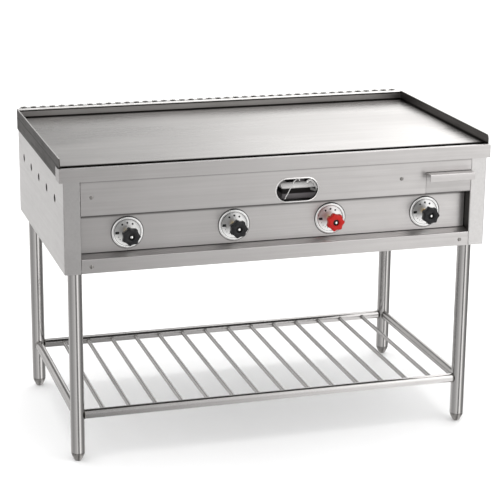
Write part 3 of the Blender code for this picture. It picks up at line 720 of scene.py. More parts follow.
def make_flue_vent():
    """Cap over the flue: a row of round holes, each with a raised and leaning hood painted bright
    as a highlight.
    """
    low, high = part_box("flue_vent")
    middle = (low.y + high.y) / 2
    half = GAUGE / 2
    rim_x, rim_y = high.x - half, (high.y - low.y) / 2 - half
    outline = [(-rim_x, middle - rim_y), (rim_x, middle - rim_y),
               (rim_x, middle + rim_y), (-rim_x, middle + rim_y)]
    centres = [(index - (FLUE_HOLES - 1) / 2) * FLUE_PITCH for index in range(FLUE_HOLES)]
    holes = [circle_points((x, middle), FLUE_RADIUS, 24) for x in centres]
    shape = pierced_sheet(outline, holes, lambda x, y: (x, y, high.z - half))
    grow_flange(shape, lambda co: (level_with(abs(co.x), rim_x, 0.0001)
                                   or level_with(abs(co.y - middle), rim_y, 0.0001)),
                (0, 0, low.z - high.z + half))
    round_folds(shape)
    vent = on_frame(shape, "flue_vent_cap", VENT_STEEL, ["flue_vent"])
    thicken(vent)
    hoods = bmesh.new()
    shoulder = HOOD_RISE - 0.0004
    profile = [(FLUE_RADIUS + HOOD_WALL, -HOOD_RISE), (FLUE_RADIUS + 0.0004, shoulder),
               (FLUE_RADIUS, HOOD_RISE), (FLUE_RADIUS - HOOD_WALL, shoulder),
               (FLUE_RADIUS - HOOD_WALL, -HOOD_RISE)]
    lean = Matrix.Rotation(math.radians(HOOD_LEAN), 4, "X")
    for x in centres:
        place = Matrix.Translation((x, middle, high.z)) @ lean
        merge_into(hoods, turned_shape(profile, place, 16))
    on_frame(hoods, "flue_hole_hoods", HOOD_PAINTED_LIGHT, smooth_angle=80)


def make_front_apron():
    """Trim, softly folded along its top and round both corners, with a lip in the grease slot."""
    low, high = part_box("front_apron")
    slot_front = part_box("guard_left")[0].y - GAP
    shape = bmesh.new()
    add_block(shape, low, high)
    unwanted = [face for face in shape.faces if face.normal.z < -0.9 or face.normal.y > 0.9]
    bmesh.ops.delete(shape, geom=unwanted, context="FACES_ONLY")
    round_edges(shape, folded_edges(shape), APRON_FOLD, 5)
    bmesh.ops.bisect_plane(shape, geom=shape.verts[:] + shape.edges[:] + shape.faces[:],
                           plane_co=(0, slot_front, 0), plane_no=(0, 1, 0))
    behind = [face for face in shape.faces
              if face.normal.z > 0.15 and face.calc_center_median().y > slot_front]
    bmesh.ops.delete(shape, geom=behind, context="FACES")
    grow_flange(shape, lambda co: level_with(co.y, slot_front) and co.z > high.z - 0.0003,
                (0, 0, -SLOT_LIP))
    bmesh.ops.recalc_face_normals(shape, faces=shape.faces)
    apron = on_frame(shape, "front_apron_trim", PANEL_STEEL, ["front_apron"])
    add_wall(apron, GAUGE, -1.0)


# ---------------------------------------------------------------- body sides

BACK_FLANGE = 0.0235
VENTS = 5
VENT_LEVEL = 0.718
VENT_MIDDLE = 0.014
VENT_PITCH = 0.120
VENT_RADIUS = 0.0115
VENT_RIM = 0.0007


def make_body_side(node, side):
    """Side sheet folded round the front post and into the recess, pierced with a row of vents."""
    low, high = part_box(node)
    half = GAUGE / 2
    face = side * max(abs(low.x), abs(high.x))
    outer = face - side * half
    inner = side * (min(abs(low.x), abs(high.x)) + half)
    front, back = low.y + half, high.y - half
    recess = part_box("control_panel")[0].y + GAUGE
    vents = [(VENT_MIDDLE + (index - (VENTS - 1) / 2) * VENT_PITCH, VENT_LEVEL)
             for index in range(VENTS)]
    outline = [(front, low.z), (back, low.z), (back, high.z), (front, high.z)]
    shape = pierced_sheet(outline, [circle_points(vent, VENT_RADIUS, 32) for vent in vents],
                          lambda y, z: (outer, y, z))
    grow_flange(shape, lambda co: level_with(co.y, front), (inner - outer, 0, 0))
    grow_flange(shape, lambda co: level_with(co.y, front) and level_with(co.x, inner),
                (0, recess - front, 0))
    grow_flange(shape, lambda co: level_with(co.y, back), (-side * BACK_FLANGE, 0, 0))
    round_folds(shape)
    panel = on_frame(shape, node + "_sheet", SIDE_STEEL, [node])
    thicken(panel)
    rims = bmesh.new()
    sideways = Matrix.Rotation(math.pi / 2, 4, "Y")
    for y, z in vents:
        add_wire_ring(rims, Matrix.Translation((face, y, z)) @ sideways,
                      VENT_RADIUS + 0.0003, VENT_RIM)
    on_frame(rims, node + "_vent_rims", SIDE_STEEL, smooth_angle=80)


# ---------------------------------------------------------------- front

HOLE_SIZE = (0.117, 0.062)
RIM_SIZES = ((0.0064, -0.0002), (-0.0006, -0.0014), (-0.0006, 0.0040))   # (growth, depth)
SHELF_DEPTH = 0.0355
DRAWER_GAP = (0.0008, 0.0012)   # beside and above the drawer's front
RAIL_FOOT = 0.0153
RAIL_SLOPE = 0.006
LIP_FOLD = 0.0018
LIP_DROP = 0.019
TRAY_GAUGE = 0.0012
TRAY_FOLD = 0.002
TRAY_LOW = (0.0017, 0.0016, 0.0006)     # tray's corners, in from the drawer's box and front
TRAY_HIGH = (0.0027, 0.0, 0.0105)


def make_upper_front():
    """Upper front sheet: lighting hole with a turned rim painted brighter as a highlight, opening
    for the drawer and its shelf.
    """
    low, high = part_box("upper_front_panel")
    drawer_low, drawer_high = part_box("grease_drawer")
    half = GAUGE / 2
    edge = drawer_low.x - DRAWER_GAP[0]
    opening_top = drawer_high.z + DRAWER_GAP[1]
    bottom = low.z + half
    outline = [(low.x, bottom), (edge, bottom), (edge, opening_top), (high.x, opening_top),
               (high.x, high.z), (low.x, high.z)]
    shape = pierced_sheet(outline, [obround(HOLE_CENTRE, *HOLE_SIZE)],
                          lambda x, z: (x, low.y + half, z))
    grow_flange(shape, lambda co: level_with(co.z, bottom), (0, SHELF_DEPTH, 0))
    round_folds(shape)
    panel = on_frame(shape, "upper_front_sheet", UPPER_FRONT_STEEL,
                     ["upper_front_panel"])
    thicken(panel)
    shelf = bmesh.new()
    add_block(shelf, (edge, low.y, low.z), (high.x, high.y, low.z + GAUGE))
    tray_rest = on_frame(shelf, "drawer_shelf", UPPER_FRONT_STEEL)
    ease_edges(tray_rest, 0.0003)
    rim = bmesh.new()
    loops = [outline_loop(rim, obround(HOLE_CENTRE, HOLE_SIZE[0] + growth, HOLE_SIZE[1] + growth),
                          lambda x, z, y=low.y + depth: (x, y, z)) for growth, depth in RIM_SIZES]
    for first, second in zip(loops, loops[1:]):
        bmesh.ops.bridge_loops(rim, edges=first + second)
    bmesh.ops.recalc_face_normals(rim, faces=rim.faces)
    on_frame(rim, "lighting_hole_rim", HOLE_RIM_PAINTED_LIGHT, smooth_angle=60)


def make_bottom_front():
    """Bottom rail with its foot turned in and a ledge that slopes up to the control panel."""
    low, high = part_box("bottom_rail")
    half = GAUGE / 2
    face = low.y + half
    line = [(face + RAIL_FOOT, low.z + half), (face, low.z + half),
            (face, high.z - RAIL_SLOPE - half), (high.y, high.z - half)]
    rail = on_frame(bent_sheet(line, low.x, high.x), "bottom_front_rail", PANEL_STEEL,
                    ["bottom_rail"])
    thicken(rail)


def make_drawer():
    """Drawer: front folded out and down into a pull lip, and a tray welded behind it."""
    low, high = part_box("grease_drawer")
    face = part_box("upper_front_panel")[0].y
    half = GAUGE / 2
    line = [(face + half, low.z), (face + half, high.z - half), (low.y + half, high.z - half),
            (low.y + half, high.z - half - LIP_DROP)]
    front = on_frame(bent_sheet(line, low.x, high.x, LIP_FOLD), "drawer_front", DRAWER_STEEL,
                     ["grease_drawer"], "grease_drawer")
    thicken(front)
    tray = bmesh.new()
    add_block(tray, Vector((low.x, face, low.z)) + Vector(TRAY_LOW), high - Vector(TRAY_HIGH))
    lid = [side for side in tray.faces if side.normal.z > 0.9]
    bmesh.ops.delete(tray, geom=lid, context="FACES_ONLY")
    round_edges(tray, folded_edges(tray), TRAY_FOLD, 3)
    pan = on_frame(tray, "drawer_tray", MILL_STEEL, body="grease_drawer")
    add_wall(pan, TRAY_GAUGE, -1.0, even=False)


# ---------------------------------------------------------------- controls

FACE_FORWARD = Matrix.Rotation(math.pi / 2, 4, "X")    # lays a piece turned about Z along -Y

DIAL_PROFILE = [
    (0.0078, 0.0010), (0.0078, 0.0030), (0.0090, 0.0034), (0.0150, 0.0031), (0.0300, 0.0027),
    (0.0350, 0.0028), (0.0378, 0.0034), (0.0400, 0.0035), (0.0420, 0.0029), (0.0432, 0.0016),
    (0.0435, 0.0002)]
# the second ring, at the dial's foot, is a black line of painted shadow
DIAL_RINGS = ((0.0029, 0.0356, 0.0005), (0.0008, 0.0434, 0.0009))    # (height, radius, wire)
MARK_FOOT = 0.0022
DOT_ROWS = (                 # (angles, distance from the middle, dot radius, top, sides)
    ((58, 90, 122), 0.0262, 0.0026, 0.0031, 20),
    ((205, 222, 239, 256), 0.0270, 0.0011, 0.0030, 10))
MARK_BAR = ((-0.0330, -0.0034, MARK_FOOT), (-0.0225, 0.0034, 0.0031))

LOBES = 7
STAR_SEGMENTS = LOBES * 14
STAR_RADIUS = 0.0227
LOBE_RISE = 0.0018
LOBE_FULLNESS = 0.0003
KNOB_THICK = 0.019
BACK_RINGS = ((0.0, 0.0032), (0.0, 0.0018), (0.0006, 0.0006), (0.0018, 0.0))
FRONT_RINGS = (              # (depth, inset, roundness, round radius) from the front face
    (0.0050, 0.0, 0.0, 0.0), (0.0030, 0.0004, 0.0, 0.0), (0.0014, 0.0014, 0.0, 0.0),
    (0.0004, 0.0030, 0.0, 0.0), (0.0, 0.0050, 0.1, 0.0150), (0.0001, 0.0060, 0.6, 0.0130),
    (0.0003, 0.0, 1.0, 0.0102), (0.0010, 0.0, 1.0, 0.0090), (0.0022, 0.0, 1.0, 0.0085),
    (0.0055, 0.0, 1.0, 0.0083), (0.0058, 0.0, 1.0, 0.0034))
NECK_PROFILE = ((0.0, 0.001), (0.0150, 0.001), (0.0145, -0.002), (0.0105, -0.008),
                (0.0095, -0.013), (0.0090, -0.0145), (0.0, -0.0145))
SPINDLE_PROFILE = ((0.0, 0.0268), (0.0050, 0.0268), (0.0050, 0.0010), (0.0044, 0.0), (0.0, 0.0))
WASHER_PROFILE = ((0.0, -0.0048), (0.0076, -0.0048), (0.0081, -0.0051), (0.0081, -0.0056))
KNOB_SCREW_PROFILE = ((0.0, -0.0016), (0.0018, -0.0017), (0.0032, -0.0022), (0.0037, -0.0032),
                      (0.0037, -0.0052))


def tap_place(number):
    """Middle of one tap's spindle on the control panel."""
    low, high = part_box("dial_plate_%d" % number)
    return (low.x + high.x) / 2, high.y, (low.z + high.z) / 2


def on_panel(number):
    """The turn and move that stand a turned piece on the panel at one tap."""
    return Matrix.Translation(tap_place(number)) @ FACE_FORWARD


def make_dial(number):
    """Plated dial with a soft rolled rim, a black groove near its edge, a black ring of painted
    shadow round its foot, and its marks.
    """
    place = on_panel(number)
    on_frame(turned_shape(DIAL_PROFILE, place, 72), "dial_%d" % number, SATIN_CHROME,
             ["dial_plate_%d" % number])
    marks = bmesh.new()
    for height, radius, wire in DIAL_RINGS:
        add_wire_ring(marks, Matrix.Translation((0, 0, height)), radius, wire, 60)
    for angles, distance, dot, top, sides in DOT_ROWS:
        for angle in map(math.radians, angles):
            spot = (distance * math.cos(angle), distance * math.sin(angle))
            add_bar(marks, (*spot, MARK_FOOT), (*spot, top), dot, sides)
    add_block(marks, *MARK_BAR)
    bmesh.ops.transform(marks, matrix=place, verts=marks.verts)
    on_frame(marks, "dial_marks_%d" % number, ENAMEL_BLACK)


def star_radius(angle):
    return (STAR_RADIUS + LOBE_RISE * math.cos(angle * LOBES)
            + LOBE_FULLNESS * math.cos(angle * LOBES * 2))


def stacked_rings(levels):
    """A closed star-shaped body from rings of (height, inset, roundness, round radius)."""
    shape = bmesh.new()
    verts = bmesh.ops.create_circle(shape, segments=STAR_SEGMENTS, radius=1.0)["verts"]
    loop = list({edge for vert in verts for edge in vert.link_edges})
    for index, (height, inset, roundness, circle) in enumerate(levels):
        if index:
            grown = bmesh.ops.extrude_edge_only(shape, edges=loop)["geom"]
            verts = [item for item in grown if isinstance(item, bmesh.types.BMVert)]
            fresh = set(verts)
            loop = [item for item in grown
                    if isinstance(item, bmesh.types.BMEdge) and set(item.verts) <= fresh]
        for vert in verts:
            angle = math.atan2(vert.co.y, vert.co.x)
            radius = (star_radius(angle) - inset) * (1 - roundness) + circle * roundness
            vert.co = (radius * math.cos(angle), radius * math.sin(angle), height)
    bmesh.ops.holes_fill(shape, edges=shape.edges[:], sides=0)
    bmesh.ops.recalc_face_normals(shape, faces=shape.faces)
    return shape


def make_knob(number):
    """Star handwheel: soft lobes, a dished middle with washer and screw, a neck and the spindle."""
    node = "knob_%d" % number
    finish, slot = (KNOB_RED, "knob_red") if number == RED_TAP else (KNOB_BLACK, "knob_black")
    place = on_panel(number)
    front = tap_place(number)[1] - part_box(node)[0].y
    back = front - KNOB_THICK

    def turned_from(level, profile, sides):
        return turned_shape([(radius, level + rise) for radius, rise in profile], place, sides)
    star = stacked_rings([(back + rise, inset, 0.0, 0.0) for rise, inset in BACK_RINGS]
                         + [(front - depth, *ring) for depth, *ring in FRONT_RINGS])
    bmesh.ops.transform(star, matrix=place, verts=star.verts)
    merge_into(star, turned_from(back, NECK_PROFILE, 32))
    on_frame(star, node + "_star", finish, [node], node, 42.0)
    on_frame(turned_from(0.0, SPINDLE_PROFILE, 24), "spindle_%d" % number, BRASS,
             body=node)
    on_frame(turned_from(front, WASHER_PROFILE, 28), "knob_washer_%d" % number, ENAMEL_BLACK,
             body=node)
    on_frame(turned_from(front, KNOB_SCREW_PROFILE, 20), "knob_screw_%d" % number, CHROME,
             body=node)


# ---------------------------------------------------------------- gas

PIPE_RADIUS = 0.0133
PIPE_CAP = (0.014, 0.0150)       # (length, radius)
INLET_RADIUS = 0.0105
THREAD_RADIUS = 0.0096
THREAD_TURNS = 6
THREAD_PITCH = 0.002
UNION_NUT = (0.004, 0.018, 0.0155)     # (start and end behind the body, radius)
TAP_STEM = 0.0078                # foot of a tap on the supply pipe
TAP_STEPS = (                    # (start, end, radius, end radius, sides) behind its front
    (0.0, 0.010, 0.013, 0.013, 6), (0.010, 0.050, 0.0122, 0.0122, 28),
    (0.050, 0.0595, 0.0128, 0.0128, 6), (0.0595, 0.0670, 0.0088, 0.0088, 6))
JET_RADII = (0.0070, 0.0040)


def pipe_middle():
    """How far back the long run of the supply pipe lies, and its height."""
    low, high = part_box("gas_manifold")
    return low.y + PIPE_RADIUS, (low.z + high.z) / 2


def make_tap(number):
    """Brass tap: hex shoulders, barrel, foot on the supply pipe and the jet towards the burner."""
    low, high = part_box("gas_valve_%d" % number)
    x, _, z = tap_place(number)
    pipe_y = pipe_middle()[0]
    shape = bmesh.new()
    for start, end, radius, end_radius, sides in TAP_STEPS:
        add_bar(shape, (x, low.y + start, z), (x, low.y + end, z), radius, sides, end_radius)
    add_bar(shape, (x, pipe_y, low.z), (x, pipe_y, z), TAP_STEM, 20)
    add_bar(shape, (x, low.y + TAP_STEPS[-1][1], z), (x, high.y, z), JET_RADII[0], 20, JET_RADII[1])
    tap = on_frame(shape, "tap_%d" % number, BRASS, ["gas_valve_%d" % number])
    ease_edges(tap, 0.0005)


def make_supply_pipe():
    """Capped pipe that carries the taps, its threaded inlet tail and the nut behind the body."""
    low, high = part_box("gas_manifold")
    y, level = pipe_middle()
    thread = high.y - THREAD_TURNS * THREAD_PITCH
    shape = bmesh.new()
    add_bar(shape, (low.x, y, level), (high.x, y, level), PIPE_RADIUS, 32)
    add_bar(shape, (INLET_X, y, level), (INLET_X, thread, level), INLET_RADIUS, 28)
    for index in range(THREAD_TURNS):
        start = thread + index * THREAD_PITCH
        add_bar(shape, (INLET_X, start, level), (INLET_X, start + THREAD_PITCH, level),
                INLET_RADIUS, 24, THREAD_RADIUS)
    length, radius = PIPE_CAP
    for x in (low.x, high.x - length):
        add_bar(shape, (x, y, level), (x + length, y, level), radius, 32)
    pipe = on_frame(shape, "supply_pipe_run", PIPE_BLACK, ["gas_manifold"])
    ease_edges(pipe, 0.0006)
    nut = bmesh.new()
    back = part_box("side_panel_left")[1].y
    start, end, radius = UNION_NUT
    add_bar(nut, (INLET_X, back + start, level), (INLET_X, back + end, level), radius, 6)
    union = on_frame(nut, "inlet_union_nut", BRASS)
    ease_edges(union, 0.0012, 3)


FRONT_TUBE = 0.025               # radius of a burner's front tube
FRONT_TUBE_CAP = (0.003, 0.0235)       # (length, radius)
ARM_RADIUS = 0.019
ARM_INSET = 0.004
CROSS_TUBE = (-0.020, 0.017)     # (y, radius)
MIXER_RADIUS = 0.015
MIXER_RUN = ((-0.185, 0.0, -0.128, 0.0), (-0.131, 0.0, -0.093, 0.0135))   # (y, rise, y, rise)
MIXER_RISER = (-0.097, 0.0125, -0.022)
BELL_RADII = (0.022, 0.0145)
PORTS = 18
FIRST_PORT = -0.165
PORT_PITCH = 0.022
PORT_SPREAD = 0.006
PORT_LEVEL = 0.0172
PORT_SIZE = (0.0010, 0.0018)     # (height, radius)


def make_burner(number):
    """Ladder burner: front tube, two arms with rows of flame ports drawn as black discs of painted
    shade, cross tube and mixing tube.
    """
    node = "burner_%d" % number
    low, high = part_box(node)
    x = (low.x + high.x) / 2
    level = high.z - FRONT_TUBE
    front_y = low.y + FRONT_TUBE
    reach = (high.x - low.x) / 2 - ARM_RADIUS - ARM_INSET
    mixer = tap_place(number)[2]
    cap, cap_radius = FRONT_TUBE_CAP
    shape = bmesh.new()
    add_bar(shape, (low.x + cap, front_y, level), (high.x - cap, front_y, level), FRONT_TUBE, 40)
    for end in (low.x, high.x - cap):
        add_bar(shape, (end, front_y, level), (end + cap, front_y, level), cap_radius, 40)
    for arm in (x - reach, x + reach):
        add_bar(shape, (arm, front_y, level), (arm, high.y, level), ARM_RADIUS, 32)
    cross, cross_radius = CROSS_TUBE
    add_bar(shape, (x - reach, cross, level), (x + reach, cross, level), cross_radius, 28)
    for start, rise, end, end_rise in MIXER_RUN:
        add_bar(shape, (x, start, mixer + rise), (x, end, mixer + end_rise), MIXER_RADIUS, 28)
    start, rise, end = MIXER_RISER
    add_bar(shape, (x, start, mixer + rise), (x, end, level), MIXER_RADIUS, 28)
    add_bar(shape, (x, low.y, mixer), (x, MIXER_RUN[0][0], mixer), BELL_RADII[0], 32, BELL_RADII[1])
    on_frame(shape, node + "_casting", BURNER_PAINTED_BANDS, [node])
    # each flame port is a black disc of painted shade on the arm's top
    port_shade_discs = bmesh.new()
    height, radius = PORT_SIZE
    for arm in (x - reach, x + reach):
        for y in (FIRST_PORT + index * PORT_PITCH for index in range(PORTS)):
            for port in (arm - PORT_SPREAD, arm + PORT_SPREAD):
                foot = level + PORT_LEVEL
                add_bar(port_shade_discs, (port, y, foot), (port, y, foot + height), radius, 8)
    on_frame(port_shade_discs, node + "_port_shade_discs", ENAMEL_BLACK)


PILOT_TUBE = ((-0.0240, 0.0862, -0.0855), (-0.0120, 0.0862, -0.0585), (0.0007, 0.0882, -0.0365),
              (0.0215, 0.0882, 0.0015), (0.0270, 0.0832, 0.0070))
PILOT_HOOD = ((0.0256, 0.0812, 0.0195), (0.0342, 0.0812, 0.0040))
PILOT_BRACKET = ((0.0430, 0.0482, 0.0055), (0.0470, 0.0482, 0.0105), (0.0545, 0.0482, 0.0125),
                 (0.0615, 0.0482, 0.0065), (0.0730, 0.0482, -0.0105), (0.0780, 0.0762, -0.0245),
                 (0.0810, 0.1222, -0.0325))


def make_pilot():
    """Pilot gas tube with its hood and its bracket, given from the middle of the lighting hole."""
    hole = (HOLE_CENTRE[0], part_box("upper_front_panel")[0].y, HOLE_CENTRE[1])
    tube = bmesh.new()
    add_bent_wire(tube, PILOT_TUBE, hole, 0.0014)
    add_bent_wire(tube, PILOT_HOOD, hole, 0.0021)
    on_frame(tube, "pilot_tube", PILOT_METAL)
    bracket = bmesh.new()
    add_bent_wire(bracket, PILOT_BRACKET, hole, 0.0032)
    on_frame(bracket, "pilot_bracket", PILOT_METAL)


# ---------------------------------------------------------------- stand

RAILS = (("front", "X"), ("back", "X"), ("left", "Y"), ("right", "Y"))
RAIL_BEAD = 0.0016
ROD_BEAD = 0.0011
FOOT_PROFILE = ((0.0, 0.0), (0.0080, 0.0), (0.0094, 0.0008), (0.0116, 0.0050), (0.0143, 0.0105),
                (0.0169, 0.0160), (0.0183, 0.0200), (0.0185, 0.0240), (0.0178, 0.0247),
                (0.0080, 0.0247))
STEM_START = 0.0255
STEM_PITCH = 0.0021
STEM_TURNS = 26
STEM_RADII = (0.0080, 0.0072)    # crest and root


def run_of(node, axis):
    """Where a straight tube or rod starts and ends along its axis, and its radius."""
    low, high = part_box(node)
    start, end = (low + high) / 2, (low + high) / 2
    index = "XYZ".index(axis)
    start[index], end[index] = low[index], high[index]
    across = "XYZ".index("Z" if axis != "Z" else "X")
    return start, end, (high[across] - low[across]) / 2


def add_weld(shape, spot, axis, radius, bead, count=28):
    """A small bead of weld round a joint."""
    along = Vector([axis == letter for letter in "XYZ"])
    turn = along.to_track_quat("Z", "Y").to_matrix().to_4x4()
    add_wire_ring(shape, Matrix.Translation(spot) @ turn, radius, bead, count)


def make_stand():
    """Four legs with their feet, the undershelf's rails and rods, and the welds between them."""
    for corner in CORNERS:
        start, end, radius = run_of("leg_" + corner, "Z")
        on_frame(tube_shape(start, end, radius, GAUGE, 48), "leg_tube_" + corner, TUBE_STEEL,
                 ["leg_" + corner])
        make_foot(corner, start)
    welds = bmesh.new()
    for name, axis in RAILS:
        start, end, radius = run_of("shelf_rail_" + name, axis)
        on_frame(tube_shape(start, end, radius, GAUGE, 40), "rail_tube_" + name,
                 RAIL_STEEL if axis == "X" else ROD_STEEL_PAINTED_SHADE,
                 ["shelf_rail_" + name])
        for spot in (start, end):
            add_weld(welds, spot, axis, radius, RAIL_BEAD)
    inwards = Vector((0, 0.0004, 0))
    for index in RODS:
        start, end, radius = run_of("shelf_rod_%02d" % index, "Y")
        rod = bmesh.new()
        add_bar(rod, start, end, radius, 24)
        on_frame(rod, "rod_%02d" % index, ROD_STEEL_PAINTED_SHADE, ["shelf_rod_%02d" % index])
        for spot in (start + inwards, end - inwards):
            add_weld(welds, spot, "Y", radius, ROD_BEAD, 16)
    on_frame(welds, "shelf_welds", SCREW_STEEL, smooth_angle=80)


def make_foot(corner, leg):
    """Bullet foot on a threaded stem inside the leg."""
    node = "foot_" + corner
    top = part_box(node)[1].z
    place = Matrix.Translation((leg.x, leg.y, 0))
    on_frame(turned_shape(FOOT_PROFILE, place, 48), "foot_bullet_" + corner, FOOT_STEEL,
             [node], node)
    crest, root = STEM_RADII
    thread = [FOOT_PROFILE[-1]]
    for level in (STEM_START + index * STEM_PITCH for index in range(STEM_TURNS)):
        thread += [(crest, level), (root, level + STEM_PITCH / 2)]
    thread += [(0.0076, top), (0.0, top)]
    on_frame(turned_shape(thread, place, 24), "foot_stem_" + corner, SCREW_STEEL,
             body=node, smooth_angle=60)


# ---------------------------------------------------------------- screws

SCREW_PROFILE = ((0.0, 0.0014), (0.002475, 0.0013), (0.0044, 0.0009), (0.0055, 0.0002),
                 (0.0055, -0.0006))
UPPER_SCREWS = ((0.028, 0.050), (-0.204, 0.047))     # (in from one end, up from the sheet's foot)
RAIL_SCREWS = (0.026, 0.018)
BACK_SCREW_PLACES = (-0.50, -0.25, 0.0, 0.25, 0.50)
BACK_SCREW_MARGINS = (0.018, 0.022)                  # from the panel's foot and top


def make_screws():
    """Pan-head screws of the front sheets and the back panel."""
    upper_low, upper_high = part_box("upper_front_panel")
    rail_low, rail_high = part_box("bottom_rail")
    back_low, back_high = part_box("back_panel")
    (left, left_rise), (right, right_rise) = UPPER_SCREWS
    margin, rise = RAIL_SCREWS
    front = [(upper_low.x + left, upper_low.y, upper_low.z + left_rise),
             (upper_high.x + right, upper_low.y, upper_low.z + right_rise),
             (rail_low.x + margin, rail_low.y, rail_low.z + rise),
             (rail_high.x - margin, rail_low.y, rail_low.z + rise)]
    foot, top = BACK_SCREW_MARGINS
    rear = [(x, back_high.y, z) for x in BACK_SCREW_PLACES
            for z in (back_low.z + foot, back_high.z - top)]
    face_back = Matrix.Rotation(-math.pi / 2, 4, "X")
    shape = bmesh.new()
    for places, turn in ((front, FACE_FORWARD), (rear, face_back)):
        for place in places:
            merge_into(shape, turned_shape(SCREW_PROFILE, Matrix.Translation(place) @ turn, 20))
    on_frame(shape, "panel_screws", SCREW_STEEL, smooth_angle=50)


def build_griddle():
    """Every piece from the cooking plate down, then the sheets that keep their CAD shape."""
    make_cooking_plate()
    make_side_guard("guard_left", -1)
    make_side_guard("guard_right", 1)
    make_back_guard()
    make_flue_vent()
    make_front_apron()
    make_body_side("side_panel_left", -1)
    make_body_side("side_panel_right", 1)
    make_upper_front()
    make_bottom_front()
    make_drawer()
    for number in TAPS:
        make_dial(number)
        make_knob(number)
        make_tap(number)
        make_burner(number)
    make_supply_pipe()
    make_pilot()
    make_stand()
    make_screws()
    for node, finish in (("control_panel", CONTROL_STEEL), ("back_panel", BACK_STEEL),
                         ("grease_trough", GREASY_STEEL), ("base_pan", MILL_STEEL_PAINTED_SHADE),
                         ("burner_rail", MILL_STEEL_PAINTED_SHADE)):
        refinish(node, finish)


build_griddle()


# ---------------------------------------------------------------- studio

TORCH_PLACE = (-1.30, -4.40, 1.80)
TORCH_AIM = (HOLE_CENTRE[0] + 0.030, -0.230, 0.712)
TORCH_POWER = 1100
TORCH_SPREAD = 2.4
BRIGHTEST = 1.8
WHITE = 1.60
MIRRORED_BANDS = (           # (direction X, brightness) of what the metal mirrors
    (-1.0, 0.50), (-0.62, 0.75), (-0.40, 1.00), (-0.16, 1.00), (-0.03, 0.26), (0.12, 0.20),
    (0.22, 0.52), (0.32, 1.20), (0.42, 1.80), (0.56, 1.60), (0.72, 0.65), (1.0, 0.25))
WARMTH = (1.0, 0.993, 0.985)
DARK_AHEAD = (0.29, 0.915, -0.28)      # what every silhouette of a tube mirrors


def add_to_scene(name, data):
    """A new object for the studio, already in the scene."""
    holder = bpy.data.objects.new(name, data)
    bpy.context.scene.collection.objects.link(holder)
    return holder


def make_floor():
    """Pale floor that the metal doesn't mirror."""
    shape = bmesh.new()
    bmesh.ops.create_grid(shape, x_segments=1, y_segments=1, size=30.0)
    mesh = bpy.data.meshes.new("studio_floor")
    shape.to_mesh(mesh)
    shape.free()
    material, tree, shader = new_finish("pale_studio_floor")
    speckle = noise(tree, 3.0, 3.0)
    tree.links.new(blended(tree, speckle, (0.86, 0.86, 0.86), (0.89, 0.89, 0.89)),
                   shader.inputs["Base Color"])
    tree.links.new(ranged(tree, speckle, 0.60, 0.70), shader.inputs["Roughness"])
    mesh.materials.append(material)
    floor = add_to_scene("studio_floor", mesh)
    floor.visible_glossy = False


def aim(holder, place, target):
    """Put a light in its place and point it."""
    holder.location = place
    turn = (Vector(target) - Vector(place)).to_track_quat("-Z", "Y")
    holder.rotation_euler = turn.to_euler()


def add_lamp(name, place, target, size, power):
    lamp = bpy.data.lights.new(name, "AREA")
    lamp.energy = power
    lamp.size = size
    aim(add_to_scene(name, lamp), place, target)


def add_torch():
    """A narrow soft light into the lighting hole."""
    torch = bpy.data.lights.new("torch", "SPOT")
    torch.energy = TORCH_POWER
    torch.spot_size = math.radians(TORCH_SPREAD)
    torch.spot_blend = 1.0
    torch.shadow_soft_size = 0.06
    holder = add_to_scene("torch", torch)
    aim(holder, TORCH_PLACE, TORCH_AIM)
    holder.visible_glossy = False


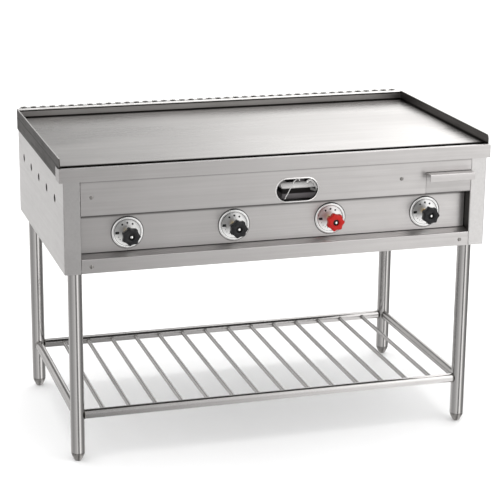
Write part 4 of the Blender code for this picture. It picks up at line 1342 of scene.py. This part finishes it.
def light_the_studio():
    """White to the eye and on the floor; what the metal mirrors changes softly side to side."""
    world = bpy.data.worlds.new("studio")
    world.use_nodes = True
    tree = world.node_tree
    back = tree.nodes["Background"]
    around = tree.nodes.new("ShaderNodeTexCoord").outputs["Generated"]
    split = tree.nodes.new("ShaderNodeSeparateXYZ")
    tree.links.new(around, split.inputs["Vector"])
    ramp = tree.nodes.new("ShaderNodeValToRGB")
    ramp.color_ramp.interpolation = "EASE"
    while len(ramp.color_ramp.elements) < len(MIRRORED_BANDS):
        ramp.color_ramp.elements.new(0.5)
    for element, (place, tone) in zip(ramp.color_ramp.elements, MIRRORED_BANDS):
        element.position = (place + 1) / 2
        element.color = (*(tone / BRIGHTEST * share for share in WARMTH), 1.0)
    tree.links.new(ranged(tree, split.outputs["X"], 0.0, 1.0, -1.0, 1.0), ramp.inputs["Fac"])
    nearness = tree.nodes.new("ShaderNodeVectorMath")
    nearness.operation = "DOT_PRODUCT"
    nearness.inputs[1].default_value = DARK_AHEAD
    tree.links.new(around, nearness.inputs[0])
    dark = ranged(tree, nearness.outputs["Value"], 1.0, 0.10, 0.90, 0.975)
    lift = ranged(tree, split.outputs["Z"], 1.0, 1.25, -0.05, 0.28)
    mirrored = tree.nodes.new("ShaderNodeVectorMath")
    mirrored.operation = "SCALE"
    tree.links.new(ramp.outputs["Color"], mirrored.inputs[0])
    tree.links.new(combined(tree, "MULTIPLY", (dark, lift)), mirrored.inputs["Scale"])
    mirror_ray = tree.nodes.new("ShaderNodeLightPath").outputs["Is Glossy Ray"]
    white = (WHITE / BRIGHTEST,) * 3
    tree.links.new(blended(tree, mirror_ray, white, mirrored.outputs["Vector"]),
                   back.inputs["Color"])
    back.inputs["Strength"].default_value = BRIGHTEST
    bpy.context.scene.world = world
    add_lamp("key", (2.6, -2.2, 2.6), (0.2, 0.0, 0.6), 2.2, 12)
    add_lamp("overhead", (0.3, 0.6, 3.2), (0.0, 0.0, 0.8), 2.5, 12)
    add_torch()


CAMERA_PLACE = (-1.3717, -4.5830, 1.8576)
CAMERA_YAW = -16.866
CAMERA_PITCH = -16.194
CAMERA_ROLL = 0.571
FOCAL_LENGTH = 124.03


def place_camera():
    """Camera in front and to the left, turned by yaw, pitch and a touch of roll."""
    yaw, pitch, roll = (math.radians(a) for a in (CAMERA_YAW, CAMERA_PITCH, CAMERA_ROLL))
    forward = Vector((-math.sin(yaw) * math.cos(pitch), math.cos(yaw) * math.cos(pitch),
                      math.sin(pitch)))
    level = Vector((math.cos(yaw), math.sin(yaw), 0))
    upward = level.cross(forward)
    right = level * math.cos(roll) + upward * math.sin(roll)
    upright = upward * math.cos(roll) - level * math.sin(roll)
    turn = Matrix((right, upright, -forward)).transposed().to_4x4()
    camera = bpy.data.cameras.new("camera")
    camera.lens = FOCAL_LENGTH
    camera.sensor_width = 36.0
    holder = add_to_scene("camera", camera)
    holder.matrix_world = Matrix.Translation(CAMERA_PLACE) @ turn
    bpy.context.scene.camera = holder


make_floor()
light_the_studio()
place_camera()
bpy.context.scene.view_settings.view_transform = "Standard"
